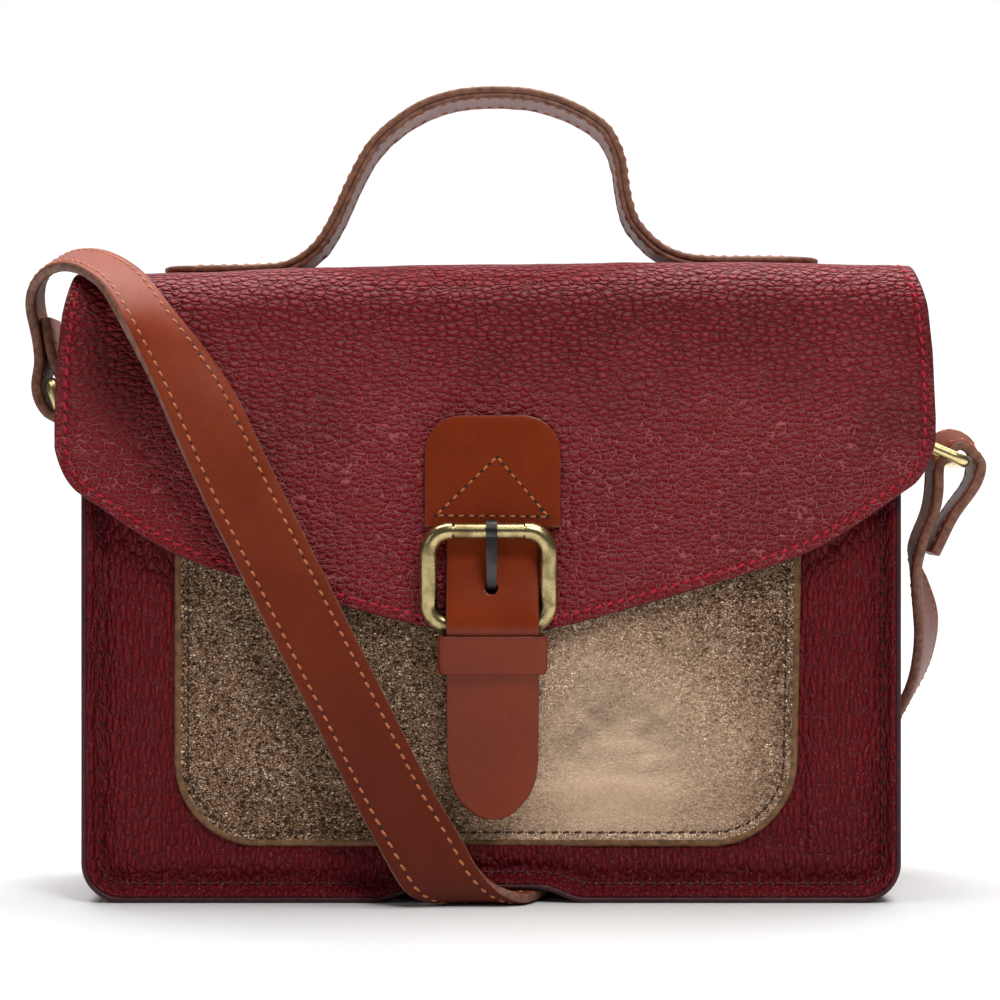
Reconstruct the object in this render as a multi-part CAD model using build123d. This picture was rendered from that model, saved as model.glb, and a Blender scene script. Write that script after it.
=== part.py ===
from build123d import *
import os
from math import cos, radians, sin, sqrt

os.makedirs("parts", exist_ok=True)

# Millimetres. X runs to the right seen from the front, the front faces -Y, Z is up.
# Everything is drawn about the middle of the bag's base. The pieces are saved with the origin
# moved to the middle of the space that the bag and its strap take up, on the floor.
ORIGIN_X, ORIGIN_Y = 3.85, 12.82

# ---- body -------------------------------------------------------------------------------
HALF_WIDTH = 125.0        # gusset, outer face
HALF_DEPTH = 38.0         # out to the raw edges of the front and rear seams
BODY_TOP = 186.0          # mouth of the bag
CORNER_R = 12.0           # bottom corners of the gusset
LEATHER = 1.6             # gusset leather
FLANGE = 1.4              # panel edge turned forward into the seam
PANEL_FACE = 32.5         # outer face of the recessed front and rear panels
PANEL_T = 1.5
LINING_GAP = 3.4          # lining set in from the gusset's outer face
LINING_T = 0.8
BASE_RISE = 4.0           # base lifts over the strap that runs under it
RISE_LEFT = (-58.0, -24.0)
RISE_RIGHT = (42.0, 78.0)

# ---- flap -------------------------------------------------------------------------------
FLAP_TOP_Z = 195.0        # outer face of the top
FLAP_FRONT_Y = -42.8      # outer face of the hanging front
FLAP_LEATHER = 1.6
FLAP_LINING = 1.0
FRONT_ROLL = 14.0         # outer radius over the front edge
REAR_ROLL = 7.5           # outer radius over the rear edge
HINGE_Y = 35.6            # rear hinge line, on the outer face
HINGE_Z = 187.5
FLAP_TOP_HALF = 126.5
FLAP_HALF = 133.7         # widest, on the hanging front
FLAP_SHIFT = 1.2          # the flap hangs a little to one side
FLAP_TIP_Z = 82.4

# ---- front pocket -----------------------------------------------------------------------
POCKET_LEFT, POCKET_RIGHT = -97.0, 95.5
POCKET_BOTTOM, POCKET_MOUTH = 16.7, 133.0
POCKET_R = 26.0
POCKET_EDGE = 1.7         # painted edge strip round the pocket
POCKET_T = 1.4
POCKET_PLATEAU = 38.4     # outer face of the raised middle

# ---- buckle and tongue ------------------------------------------------------------------
BUCKLE_X = -0.75
BUCKLE_W, BUCKLE_H = 40.9, 33.0
BAR_R = 2.3
ROLLER_Y, ROLLER_Z = -48.4, 113.3
ROLLER_ENDS = (-10.9, 9.8)
ROLLER_R = 2.4
PIN_R = 1.3               # thin length of the top bar inside the roller
BUCKLE_TILT = 6.3
PRONG_X = 0.2
TAB_T = 1.8
TONGUE_T = 1.8
TONGUE_X, TONGUE_HALF = 0.45, 13.75
HOLE_Z, HOLE_R = 96.3, 2.1
SNAP_Z = 98.0

# ---- handle -----------------------------------------------------------------------------
HANDLE_DEPTH = 26.0
HANDLE_UPPER, HANDLE_LOWER = 2.2, 1.6
HANDLE_END = 102.4

# ---- rings and shoulder strap -----------------------------------------------------------
RING_WIRE_R = 1.8
RING_REACH = 18.6         # between the two bars' centres
RING_SPAN = 28.6          # between the side wires' centres
RING_PIVOT_X, RING_PIVOT_Z = 131.5, 142.0
RING_LEFT_ANGLE = 111.0   # the left ring stands up
RING_RIGHT_ANGLE = -23.0  # the right ring droops outward
STRAP_W = 22.6
STRAP_T = 2.8


def save(shape, node):
    export_step(Pos(-ORIGIN_X, -ORIGIN_Y, 0) * shape, f"parts/{node}.step")


def slab(sketch, y0, y1):
    """A front-view sketch given depth from y0 to y1."""
    return Pos(0, y1, 0) * extrude(Plane.XZ * sketch, amount=y1 - y0)


def bar(sketch, x0, x1):
    """A side-view sketch (Y, Z) given width from x0 to x1."""
    return Pos(x0, 0, 0) * extrude(Plane.YZ * sketch, amount=x1 - x0)


def loop(points, smooth=()):
    """A closed face through points; the index pairs in smooth become splines."""
    edges = []
    i = 0
    while i < len(points) - 1:
        run = next((b for a, b in smooth if a == i), None)
        if run is None:
            edges.append(Edge.make_line(points[i], points[i + 1]))
            i += 1
        else:
            edges.append(Edge.make_spline([Vector(*p) for p in points[i:run + 1]]))
            i = run
    edges.append(Edge.make_line(points[-1], points[0]))
    return make_face(edges)


# ---- body pieces ------------------------------------------------------------------------
def arc_about(centre, radius, start, end):
    """Arc about centre between two unit directions."""
    middle = (start + end).normalized()
    return Edge.make_three_point_arc(*(centre + d * radius for d in (start, middle, end)))


def rise_curve(x0, z0, x1, z1, inset):
    """Two equal arcs, level at both ends, both moved inset upwards."""
    length, height = x1 - x0, z1 - z0
    r = (length ** 2 + height ** 2) / (4 * abs(height))
    up = Vector(0, 1) if height > 0 else Vector(0, -1)
    grow = -inset if height > 0 else inset
    first = Vector(x0, z0) + up * r
    second = Vector(x1, z1) - up * r
    across = (second - first).normalized()
    return [
        arc_about(first, r + grow, up * -1, across),
        arc_about(second, r - grow, across * -1, up),
    ]


def body_sketch(inset, top):
    """Front view of the bag pulled in by inset and cut flat at top."""
    w, r, z0 = HALF_WIDTH - inset, CORNER_R - inset, inset
    turn = r + inset
    left_c = Vector(-HALF_WIDTH + turn, turn)
    right_c = Vector(HALF_WIDTH - turn, turn)
    raised = BASE_RISE + inset
    face = make_face([
        Edge.make_line((-w, top), (-w, turn)),
        arc_about(left_c, r, Vector(-1, 0), Vector(0, -1)),
        Edge.make_line((left_c.X, z0), (RISE_LEFT[0], z0)),
        *rise_curve(RISE_LEFT[0], 0, RISE_LEFT[1], BASE_RISE, inset),
        Edge.make_line((RISE_LEFT[1], raised), (RISE_RIGHT[0], raised)),
        *rise_curve(RISE_RIGHT[0], BASE_RISE, RISE_RIGHT[1], 0, inset),
        Edge.make_line((RISE_RIGHT[1], z0), (right_c.X, z0)),
        arc_about(right_c, r, Vector(0, -1), Vector(1, 0)),
        Edge.make_line((w, turn), (w, top)),
        Edge.make_line((w, top), (-w, top)),
    ])
    return face


def gusset():
    ring = body_sketch(0, BODY_TOP) - body_sketch(LEATHER, 300)
    return slab(ring, -HALF_DEPTH, HALF_DEPTH)


def panel(front):
    """Flat panel with its edge turned out to the seam round three sides."""
    plate = body_sketch(LEATHER, BODY_TOP)
    rim = plate - body_sketch(LEATHER + FLANGE, 300)
    if front:
        face = slab(plate, -PANEL_FACE, -PANEL_FACE + PANEL_T)
        edge = slab(rim, -HALF_DEPTH, -PANEL_FACE)
    else:
        face = slab(plate, PANEL_FACE - PANEL_T, PANEL_FACE)
        edge = slab(rim, PANEL_FACE, HALF_DEPTH)
    return face + edge


def lining():
    depth = PANEL_FACE - PANEL_T - 0.1
    outer = slab(body_sketch(LINING_GAP, BODY_TOP - 1), -depth, depth)
    inner = slab(body_sketch(LINING_GAP + LINING_T, 300), -depth + LINING_T, depth - LINING_T)
    return outer - inner


def base_board():
    board = body_sketch(LEATHER, 300) - body_sketch(LINING_GAP - 0.1, 300)
    board = board & Pos(0, 2) * Rectangle(2 * (HALF_WIDTH - CORNER_R - 3), 14)
    return slab(board, -30.0, 30.0)


def hinge_strip():
    """The flap's rear end, sewn to the rear panel."""
    strip = Pos(0, (164 + HINGE_Z - 0.1) / 2) * Rectangle(240, HINGE_Z - 0.1 - 164)
    return slab(strip, PANEL_FACE, HINGE_Y)


# ---- front pocket -----------------------------------------------------------------------
def pocket_sketch(inset):
    left, right = POCKET_LEFT + inset, POCKET_RIGHT - inset
    low, high = POCKET_BOTTOM + inset, 175.0
    shape = Polygon((left, high), (left, low), (right - 2.2, low), (right + 0.8, high), align=None)
    corners = shape.vertices().group_by(Axis.Y)[0]
    return fillet(corners, max(POCKET_R - inset, 8.0))


def pocket_below(shape):
    return shape & Pos(0, -40, POCKET_MOUTH - 250) * Box(500, 60, 500)


def pocket():
    """Flat sewn rim with a raised middle, open at the mouth."""
    rim = slab(pocket_sketch(POCKET_EDGE), -PANEL_FACE - POCKET_T, -PANEL_FACE)
    hill = dome(5.5, PANEL_FACE + POCKET_T, 20.0, POCKET_PLATEAU)
    hollow = dome(6.6, PANEL_FACE, 21.5, POCKET_PLATEAU - POCKET_T)
    return pocket_below(rim + hill - hollow)


def dome(inset0, y0, inset1, y1):
    """Solid between two pocket outlines at depths y0 and y1, running on above the mouth."""
    base = Pos(0, -y0, 0) * (Plane.XZ * pocket_sketch(inset0))
    top = Pos(0, -y1, 0) * (Plane.XZ * pocket_sketch(inset1))
    return loft([base.face(), top.face()])


def pocket_edging():
    ring = pocket_sketch(0) - pocket_sketch(POCKET_EDGE)
    return pocket_below(slab(ring, -PANEL_FACE - POCKET_T, -PANEL_FACE))


def disc(y0, y1, radius, bore=0.0):
    sketch = Pos(0, SNAP_Z) * Circle(radius)
    if bore:
        sketch -= Pos(0, SNAP_Z) * Circle(bore)
    return slab(sketch, y0, y1)


# ---- flap -------------------------------------------------------------------------------
def roll_band(cy, cz, r_out, r_in, a0, a1):
    """Part ring in side view, from angle a0 to a1 measured from +Y towards +Z."""
    def at(r, a):
        return (cy + r * cos(radians(a)), cz + r * sin(radians(a)))
    am = (a0 + a1) / 2
    return make_face([
        Edge.make_three_point_arc(at(r_out, a0), at(r_out, am), at(r_out, a1)),
        Edge.make_line(at(r_out, a1), at(r_in, a1)),
        Edge.make_three_point_arc(at(r_in, a1), at(r_in, am), at(r_in, a0)),
        Edge.make_line(at(r_in, a0), at(r_out, a0)),
    ])


FOLD_Y = FLAP_FRONT_Y + FRONT_ROLL          # the front roll's centre, and the fold line above it
ROLL_Z = FLAP_TOP_Z - FRONT_ROLL


def flap_top_layer(skin, thickness):
    """Top of the flap: rear roll and flat top, skin mm below the outer face."""
    r_out = REAR_ROLL - skin
    roll = roll_band(HINGE_Y - REAR_ROLL, HINGE_Z, r_out, r_out - thickness, 0, 90)
    length = HINGE_Y - REAR_ROLL - FOLD_Y
    flat = Pos(FOLD_Y + length / 2, FLAP_TOP_Z - skin - thickness / 2) * Rectangle(length, thickness)
    solid = bar(roll + flat, -150, 150)
    half, shift = FLAP_TOP_HALF, FLAP_SHIFT * 0.5
    plan = Polygon((-half + 3, 60), (-half + 3, 34), (-half, 24), (-half - 0.5, -15), (-half - 2.0, -60),
                   (half + 2.0, -60), (half + 0.5, -15), (half, 24), (half - 3, 34), (half - 3, 60),
                   align=None)
    return solid & Pos(shift, 0, 100) * extrude(plan, amount=200)


def flap_front_sketch():
    """Front view of the hanging flap: sides that flare downwards, a shallow V lower edge."""
    w, tip = FLAP_HALF, FLAP_TIP_Z
    side = [(FLAP_TOP_HALF + 1.2, 197.0), (FLAP_TOP_HALF + 4.2, 186.0), (w - 1.0, 168.0), (w, 148.0)]
    corner = [(w, 148.0), (w - 0.8, 137.0), (w - 4.6, 128.6), (w - 12.0, 122.6)]
    lower = [(w - 12.0, 122.6), (95.0, 106.0), (55.0, 93.4), (18.0, 83.6), (0.0, tip)]
    right = side + corner[1:] + lower[1:]
    left = [(-x, z) for x, z in reversed(right)][1:]
    pts = [(x + FLAP_SHIFT, z) for x, z in right + left]
    n = len(side) - 1
    a, b = n + len(corner) - 1, n + len(corner) + len(lower) - 2
    last = len(pts) - 1
    return loop(pts, smooth=((0, n), (n, a), (a, b), (b, 2 * b - a), (2 * b - a, 2 * b - n), (2 * b - n, last)))


def flap_front_layer(skin, thickness):
    r_out = FRONT_ROLL - skin
    roll = roll_band(FOLD_Y, ROLL_Z, r_out, r_out - thickness, 90, 180)
    drop = ROLL_Z - 60
    hang = Pos(FLAP_FRONT_Y + skin + thickness / 2, ROLL_Z - drop / 2) * Rectangle(thickness, drop)
    solid = bar(roll + hang, -150, 150)
    return solid & slab(flap_front_sketch(), -60, 0)


# ---- handle -----------------------------------------------------------------------------
HANDLE_OUTER = [(0, 252.9), (13.0, 251.9), (24.3, 248.2), (34.0, 241.6), (39.5, 234.6), (42.6, 227.0),
                (44.6, 219.5), (47.2, 212.5), (52.0, 205.6), (59.0, 200.8), (68.0, 198.9)]


def arc_chain(points):
    """Arcs through an odd number of points, three at a time."""
    return [Edge.make_three_point_arc(*points[i:i + 3]) for i in range(0, len(points) - 2, 2)]


def handle_layer(skin, thickness):
    """One leather layer of the handle, skin mm below its outer face."""
    centre = [Vector(x, z) for x, z in HANDLE_OUTER]
    half = Edge.make_spline(centre, tangents=[Vector(1, 0), Vector(1, 0)])
    top, bottom = [], []
    for i in range(17):
        u = i / 16
        p, t = half.position_at(u), half.tangent_at(u)
        n = Vector(-t.Y, t.X)
        top.append(p - n * skin)
        bottom.append(p - n * (skin + thickness))
    def mirrored(points):
        return [Vector(-p.X, p.Y) for p in reversed(points[1:])] + points
    top, bottom = mirrored(top), mirrored(bottom)
    z1, z0 = top[-1].Y, bottom[-1].Y
    face = make_face([
        Edge.make_line((-HANDLE_END, z1), top[0]),
        *arc_chain(top),
        Edge.make_line(top[-1], (HANDLE_END, z1)),
        Edge.make_line((HANDLE_END, z1), (HANDLE_END, z0)),
        Edge.make_line((HANDLE_END, z0), bottom[-1]),
        *arc_chain(bottom),
        Edge.make_line(bottom[0], (-HANDLE_END, z0)),
        Edge.make_line((-HANDLE_END, z0), (-HANDLE_END, z1)),
    ])
    strap = slab(face, -HANDLE_DEPTH / 2, HANDLE_DEPTH / 2)
    plan = RectangleRounded(2 * HANDLE_END, HANDLE_DEPTH, 9.0)
    return strap & Pos(0, 0, 150) * extrude(plan, amount=150)


# ---- buckle -----------------------------------------------------------------------------
def on_buckle(shape):
    """Places a shape drawn about the roller's axis onto the flap."""
    return Pos(0, ROLLER_Y, ROLLER_Z) * Rot(BUCKLE_TILT, 0, 0) * shape


def x_rod(radius, x0, x1):
    return Pos((x0 + x1) / 2, 0, 0) * Rot(0, 90, 0) * Cylinder(radius, x1 - x0)


def buckle_frame():
    w, h = BUCKLE_W - 2 * BAR_R, BUCKLE_H - 2 * BAR_R
    path = Plane.XZ * Pos(BUCKLE_X, -h / 2) * RectangleRounded(w, h, 6.5)
    wire = path.wires()[0]
    start = wire.position_at(0)
    ring = sweep(Plane(start, z_dir=wire.tangent_at(0)) * Circle(BAR_R), path=wire)
    gap = (ROLLER_ENDS[0] - 0.9, ROLLER_ENDS[1] + 0.5)
    ring -= Pos((gap[0] + gap[1]) / 2, 0, 0) * Box(gap[1] - gap[0], 12, 10)
    return on_buckle(ring + x_rod(PIN_R, gap[0] - 2, gap[1] + 2))


def buckle_roller():
    tube = x_rod(ROLLER_R, *ROLLER_ENDS) - x_rod(PIN_R + 0.08, -20, 20)
    return on_buckle(tube)


def buckle_prong():
    """Eye round the roller with a shank that dips into the tongue's hole."""
    eye_in, eye_out, wide = ROLLER_R + 0.09, ROLLER_R + 1.1, 3.4
    eye = bar(Pos(ROLLER_Y, ROLLER_Z) * Circle(eye_out), PRONG_X - wide / 2, PRONG_X + wide / 2)
    side = [(-51.45, 112.6), (-51.35, 108.0), (-50.3, 101.0), (-48.9, 97.2), (-46.3, 95.2),
            (-46.1, 96.6), (-47.9, 98.6), (-48.7, 101.6), (-49.4, 107.0), (-49.2, 112.6)]
    shank = bar(loop(side, smooth=((0, 4), (5, 9))), PRONG_X - 1.7, PRONG_X + 1.7)
    taper = Polygon((-1.7, 120), (-1.7, 106), (-1.3, 96), (-0.7, 94.6), (0.7, 94.6), (1.3, 96),
                    (1.7, 106), (1.7, 120), align=None)
    shank = shank & slab(Pos(PRONG_X, 0) * taper, -60, -40)
    bore = bar(Pos(ROLLER_Y, ROLLER_Z) * Circle(eye_in), -20, 20)
    return eye + shank - bore


def buckle_tab():
    shape = Pos(0.45, 131.5) * Rectangle(41.5, 34.0)
    shape = fillet(shape.vertices().group_by(Axis.Y)[-1], 11.5)
    return slab(shape, FLAP_FRONT_Y - TAB_T, FLAP_FRONT_Y)


TONGUE_FACE = [(-44.6, 114.2), (-44.7, 110.5), (-45.3, 105.0), (-46.4, 100.0), (-47.5, 96.0),
               (-48.8, 91.5), (-49.8, 87.0), (-49.9, 83.6), (-49.1, 80.5), (-47.9, 75.5), (-46.7, 70.5),
               (-45.2, 64.0), (-43.8, 56.0), (-42.6, 46.0), (-41.8, 35.0), (-41.5, 22.0)]


def tongue_strap():
    """Strap that leaves from behind the roller, rides over the lower bar and hangs free."""
    face = Edge.make_spline([Vector(*p) for p in TONGUE_FACE])
    back = []
    for i in range(41):
        p, t = face.position_at(i / 40), face.tangent_at(i / 40)
        back.append(p + Vector(-t.Y, t.X) * TONGUE_T)
    rear = Edge.make_spline(back)
    profile = make_face([face, Edge.make_line(face @ 1, rear @ 1), rear,
                         Edge.make_line(rear @ 0, face @ 0)])
    solid = bar(profile, -20, 25)
    w, x = TONGUE_HALF, TONGUE_X
    pts = [(x - w, 130), (x - w, 43), (x - w + 1.2, 37.5), (x - w + 5.2, 30.6), (x - 3.6, 26.3), (x, 25.5),
           (x + 3.6, 26.3), (x + w - 5.2, 30.6), (x + w - 1.2, 37.5), (x + w, 43), (x + w, 130)]
    shape = loop(pts, smooth=((1, 9),)) - Pos(PRONG_X, HOLE_Z) * Circle(HOLE_R)
    seat = slab(Rectangle(60, 400), FLAP_FRONT_Y, 0) & Pos(0, 0, 105) * Box(80, 200, 45)
    return (solid & slab(shape, -60, -30)) - seat


def keeper():
    """Leather loop closed round the tongue below the flap's tip."""
    outer = Rectangle(33.2, TONGUE_T + 0.6 + 2 * 1.5)
    outer = fillet(outer.vertices(), 2.2)
    inner = fillet(Rectangle(2 * TONGUE_HALF + 0.8, TONGUE_T + 0.6).vertices(), 0.6)
    band = extrude(outer - inner, amount=11.8 / 2, both=True)
    return Pos(TONGUE_X, -48.1 + TONGUE_T / 2, 76.3) * Rot(13.6, 0, 0) * band


# ---- rings ------------------------------------------------------------------------------
def hoop():
    """Rectangular wire ring lying flat, its inner bar on the origin and reaching along +X."""
    path = Pos(RING_REACH / 2, 0) * RectangleRounded(RING_REACH, RING_SPAN, 4.0)
    wire = path.wires()[0]
    section = Plane(wire.position_at(0), z_dir=wire.tangent_at(0)) * Circle(RING_WIRE_R)
    return sweep(section, path=wire)


def ring_tab(side):
    """Leather tab sewn flat to the gusset and folded round the ring's inner bar."""
    x, z = RING_PIVOT_X, RING_PIVOT_Z
    w = HALF_WIDTH
    blade = Polygon((w, 176), (w, 147), (x - 3.0, z - 2.0), (x + 3.2, z + 1.5), (w + 2 * LEATHER, 151),
                    (w + 2 * LEATHER, 176), align=None)
    shape = blade + Pos(x, z) * Circle(RING_WIRE_R + 1.6)
    shape -= Pos(x, z) * Circle(RING_WIRE_R + 0.07)
    tab = slab(shape, -9.8, 9.8)
    return tab if side > 0 else mirror(tab, about=Plane.YZ)


# ---- shoulder strap ---------------------------------------------------------------------
# Centre line of the strap from its left raw end to its right raw end, each station with the
# direction its outer face looks in. Both faces are finished leather.
STRAP_PATH = [
    ((-140.2, 0.0, 180.0), (1, 0, 0.2)),            # left raw end, inside the loop
    ((-138.4, 0.0, 169.7), (1, 0, 0.3)),
    ((-136.6, 0.0, 164.0), (1, 0, 0.45)),
    ((-133.4, 0.0, 158.0), (1, 0, 0.45)),
    ((-131.8, 0.0, 153.0), (1, 0, 0)),
    ((-133.2, 0.0, 149.6), (0.5, 0, -0.8)),
    ((-137.6, 0.0, 148.8), (-0.3, 0, -1)),
    ((-141.6, 0.0, 152.2), (-0.8, 0, -0.5)),
    ((-143.4, 0.0, 160.0), (-1, 0, 0)),
    ((-142.6, 0.0, 165.0), (-1, 0, 0.1)),
    ((-142.6, 0.0, 169.0), (-1, 0, 0.0)),           # waist, sewn to the raw end
    ((-144.4, 0.0, 176.0), (-1, 0, -0.2)),
    ((-145.8, 0.0, 184.0), (-1, 0.03, 0.02)),
    ((-143.6, -0.8, 193.2), (-0.84, 0.16, 0.5)),
    ((-137.4, -4.0, 199.4), (-0.43, 0.15, 0.9)),
    ((-129.8, -10.5, 201.4), (-0.21, -0.13, 0.95)),
    ((-122.0, -21.0, 200.6), (-0.02, -0.16, 0.98)),
    ((-115.8, -32.0, 198.2), (0.06, -0.3, 0.94)),   # over the flap's front corner
    ((-111.2, -41.0, 192.6), (0.0, -0.74, 0.68)),
    ((-106.2, -45.0, 184.0), (-0.04, -0.98, 0.18)),
    ((-98.5, -45.0, 171.0), (0, -1, 0)),            # down across the front
    ((-88.5, -44.9, 151.0), (0, -1, 0)),
    ((-78.4, -44.9, 131.0), (0, -1, 0)),
    ((-68.4, -44.9, 111.0), (0, -1, 0)),
    ((-58.3, -44.8, 91.0), (0, -1, 0)),
    ((-48.3, -44.8, 71.0), (0, -1, 0)),
    ((-38.3, -44.7, 51.0), (0, -1, 0)),
    ((-28.2, -44.6, 31.0), (0, -1, 0)),
    ((-19.5, -44.6, 13.6), (0, -1, 0)),
    ((-17.9, -44.4, 9.6), (0, -1, -0.1)),
    ((-14.2, -41.9, 4.2), (0, -0.71, -0.71)),       # turns under the bag
    ((-10.7, -35.6, 1.85), (0, -0.05, -1)),
    ((-8.0, -30.0, 1.75), (0, 0, -1)),
    ((5.5, 0.0, 1.75), (0, 0, -1)),
    ((18.5, 32.0, 1.75), (0, 0, -1)),
    ((34.0, 55.0, 1.9), (0, 0, -1)),                # on the floor behind
    ((66.0, 66.0, 4.0), (0.05, 0.1, -1)),
    ((98.0, 63.0, 14.0), (0.4, 0.15, -0.9)),
    ((123.5, 55.0, 34.0), (0.75, 0.1, -0.6)),
    ((138.0, 39.0, 57.0), (0.9, -0.3, -0.3)),       # up beside the right gusset
    ((141.0, 19.0, 77.0), (0.86, -0.5, 0.0)),
    ((137.5, 6.5, 92.0), (0.96, -0.25, 0.05)),
    ((135.0, 1.5, 103.0), (1, -0.05, -0.1)),
    ((136.4, 0.0, 110.5), (1, 0, -0.3)),
    ((139.6, 0.0, 118.8), (1, 0, -0.2)),
    ((140.9, 0.0, 126.0), (1, 0, 0)),
    ((141.2, 0.0, 133.4), (1, 0, 0)),
    ((142.6, 0.0, 138.6), (0.8, 0.2, -0.5)),
    ((147.2, 0.0, 141.8), (0, 0.2, -1)),            # over the right ring
    ((151.8, 0.0, 139.6), (-0.75, 0.2, -0.7)),
    ((153.8, 0.0, 134.2), (-1, 0, 0)),
    ((153.0, 0.0, 129.2), (-1, 0, 0.2)),
    ((149.8, 0.0, 124.0), (-0.9, 0, 0.6)),
    ((146.0, 0.0, 118.8), (-0.85, 0, 0.5)),
    ((141.6, 0.0, 110.4), (-0.9, 0, 0.4)),
    ((139.4, 0.0, 105.8), (-0.9, 0, 0.4)),          # right raw end
]
TOP_SPLIT = 12            # station where the front run starts to swing
LOW_SPLIT = 29            # station where it stops
LAST = len(STRAP_PATH) - 1
SKEW = -0.502             # turns the sections parallel to the base where the strap rolls under it
SKEW_FROM, SKEW_TO = 26.5, 34.5
STRAP_LINE = Edge.make_spline([Vector(*p) for p, n in STRAP_PATH])
STRAP_MARKS = [STRAP_LINE.param_at_point(Vector(*p)) for p, n in STRAP_PATH]
STRAP_LOOKS = [Vector(*n).normalized() for p, n in STRAP_PATH]


def blend_looks(k, f):
    """Smooth interpolation between the directions at stations k and k + 1."""
    a, b = STRAP_LOOKS[max(k - 1, 0)], STRAP_LOOKS[k]
    c, d = STRAP_LOOKS[k + 1], STRAP_LOOKS[min(k + 2, LAST)]
    m0, m1 = (c - a) * 0.5, (d - b) * 0.5
    f2, f3 = f * f, f * f * f
    return (b * (2 * f3 - 3 * f2 + 1) + m0 * (f3 - 2 * f2 + f)
            + c * (3 * f2 - 2 * f3) + m1 * (f3 - f2))


def strap_section(u):
    k = max(j for j in range(LAST) if STRAP_MARKS[j] <= u + 1e-9)
    f = (u - STRAP_MARKS[k]) / (STRAP_MARKS[k + 1] - STRAP_MARKS[k])
    along = STRAP_LINE.tangent_at(u)
    look = blend_looks(k, f)
    look = (look - along * look.dot(along)).normalized()
    skew = min(max(k + f - SKEW_FROM, 0), 1) * min(max(SKEW_TO - k - f, 0), 1)
    half = (along.cross(look) + along * (SKEW * skew)) * (STRAP_W / 2)
    rise = look * (STRAP_T / 2)
    p = STRAP_LINE.position_at(u)
    return Face(Wire.make_polygon([p - half - rise, p + half - rise, p + half + rise, p - half + rise]))


def strap_run(start, end, steps, gap=0.0):
    """Flat strap from one station to another, started gap mm late."""
    u0 = STRAP_MARKS[start] + gap / STRAP_LINE.length
    u1 = STRAP_MARKS[end]
    sections = [strap_section(u0 + (u1 - u0) * i / steps) for i in range(steps + 1)]
    return loft(sections)


# ---- output -----------------------------------------------------------------------------
save(gusset(), "gusset")
save(panel(True), "front_panel")
save(panel(False), "back_panel")
save(lining(), "lining")
save(base_board(), "base_board")
save(hinge_strip(), "flap_hinge_strip")
save(pocket(), "front_pocket")
save(pocket_edging(), "front_pocket_edging")
save(disc(-POCKET_PLATEAU - 0.7, -POCKET_PLATEAU, 7.0, bore=2.7), "snap_socket")

save(flap_top_layer(0, FLAP_LEATHER), "flap_top")
save(flap_top_layer(FLAP_LEATHER, FLAP_LINING), "flap_top_lining")
save(handle_layer(0, HANDLE_UPPER), "handle_upper")
save(handle_layer(HANDLE_UPPER, HANDLE_LOWER), "handle_lining")

FLAP_BACK = FLAP_FRONT_Y + FLAP_LEATHER + FLAP_LINING
save(flap_front_layer(0, FLAP_LEATHER), "flap_front")
save(flap_front_layer(FLAP_LEATHER, FLAP_LINING), "flap_front_lining")
stud = disc(FLAP_BACK, FLAP_BACK + 0.7, 7.0) + disc(FLAP_BACK + 0.6, FLAP_BACK + 1.5, 2.0)
save(stud, "snap_stud")
save(buckle_tab(), "buckle_tab")
save(tongue_strap(), "tongue_strap")
save(keeper(), "keeper")
save(buckle_frame(), "buckle_frame")
save(buckle_roller(), "buckle_roller")
save(buckle_prong(), "buckle_prong")

save(ring_tab(-1), "ring_tab_left")
save(ring_tab(1), "ring_tab_right")
save(Pos(-RING_PIVOT_X, 0, RING_PIVOT_Z) * Rot(0, -RING_LEFT_ANGLE, 0) * hoop(), "ring_left")
save(Pos(RING_PIVOT_X, 0, RING_PIVOT_Z) * Rot(0, -RING_RIGHT_ANGLE, 0) * hoop(), "ring_right")
save(strap_run(0, TOP_SPLIT, 44), "shoulder_strap_end")
save(strap_run(TOP_SPLIT, LOW_SPLIT, 50, gap=0.15), "shoulder_strap_front")
save(strap_run(LOW_SPLIT, LAST, 100, gap=0.15), "shoulder_strap_back")
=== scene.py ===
import math

import bpy
import numpy as np
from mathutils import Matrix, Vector, noise


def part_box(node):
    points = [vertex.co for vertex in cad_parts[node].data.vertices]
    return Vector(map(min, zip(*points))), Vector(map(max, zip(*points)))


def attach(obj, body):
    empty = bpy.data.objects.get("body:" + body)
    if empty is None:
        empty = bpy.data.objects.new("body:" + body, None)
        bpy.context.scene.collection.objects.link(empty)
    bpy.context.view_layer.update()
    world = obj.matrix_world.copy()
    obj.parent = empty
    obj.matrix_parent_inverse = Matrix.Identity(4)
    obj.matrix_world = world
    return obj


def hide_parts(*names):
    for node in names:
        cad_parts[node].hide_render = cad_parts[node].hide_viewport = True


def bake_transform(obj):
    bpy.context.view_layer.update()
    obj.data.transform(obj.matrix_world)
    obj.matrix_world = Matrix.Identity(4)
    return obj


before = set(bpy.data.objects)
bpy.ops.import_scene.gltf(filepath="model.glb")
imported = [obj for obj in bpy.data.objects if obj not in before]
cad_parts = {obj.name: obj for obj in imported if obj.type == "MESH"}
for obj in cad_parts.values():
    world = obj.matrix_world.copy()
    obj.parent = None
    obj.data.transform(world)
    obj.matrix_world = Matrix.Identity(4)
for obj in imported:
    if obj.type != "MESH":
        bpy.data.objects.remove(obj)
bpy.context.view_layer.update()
MM = 0.001

# Lengths below are millimetres about the middle of the bag's base, where the frame's zero lies at ORIGIN.
ORIGIN = np.array([3.85, 12.82, 0.0])
HALF_WIDTH, HALF_DEPTH, CORNER_R, MOUTH_Z = 125.0, 38.0, 12.0, 186.0
BASE_RISE, RISE_FADE = 4.0, 42.0
FLAP_SHIFT = 1.2
FORWARD = (0.0, -1.0, 0.0)


# ---- small maths ------------------------------------------------------------------------
def smooth(a, b, x):
    t = np.clip((np.asarray(x, float) - a) / (b - a), 0, 1)
    return t * t * (3 - 2 * t)


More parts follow.
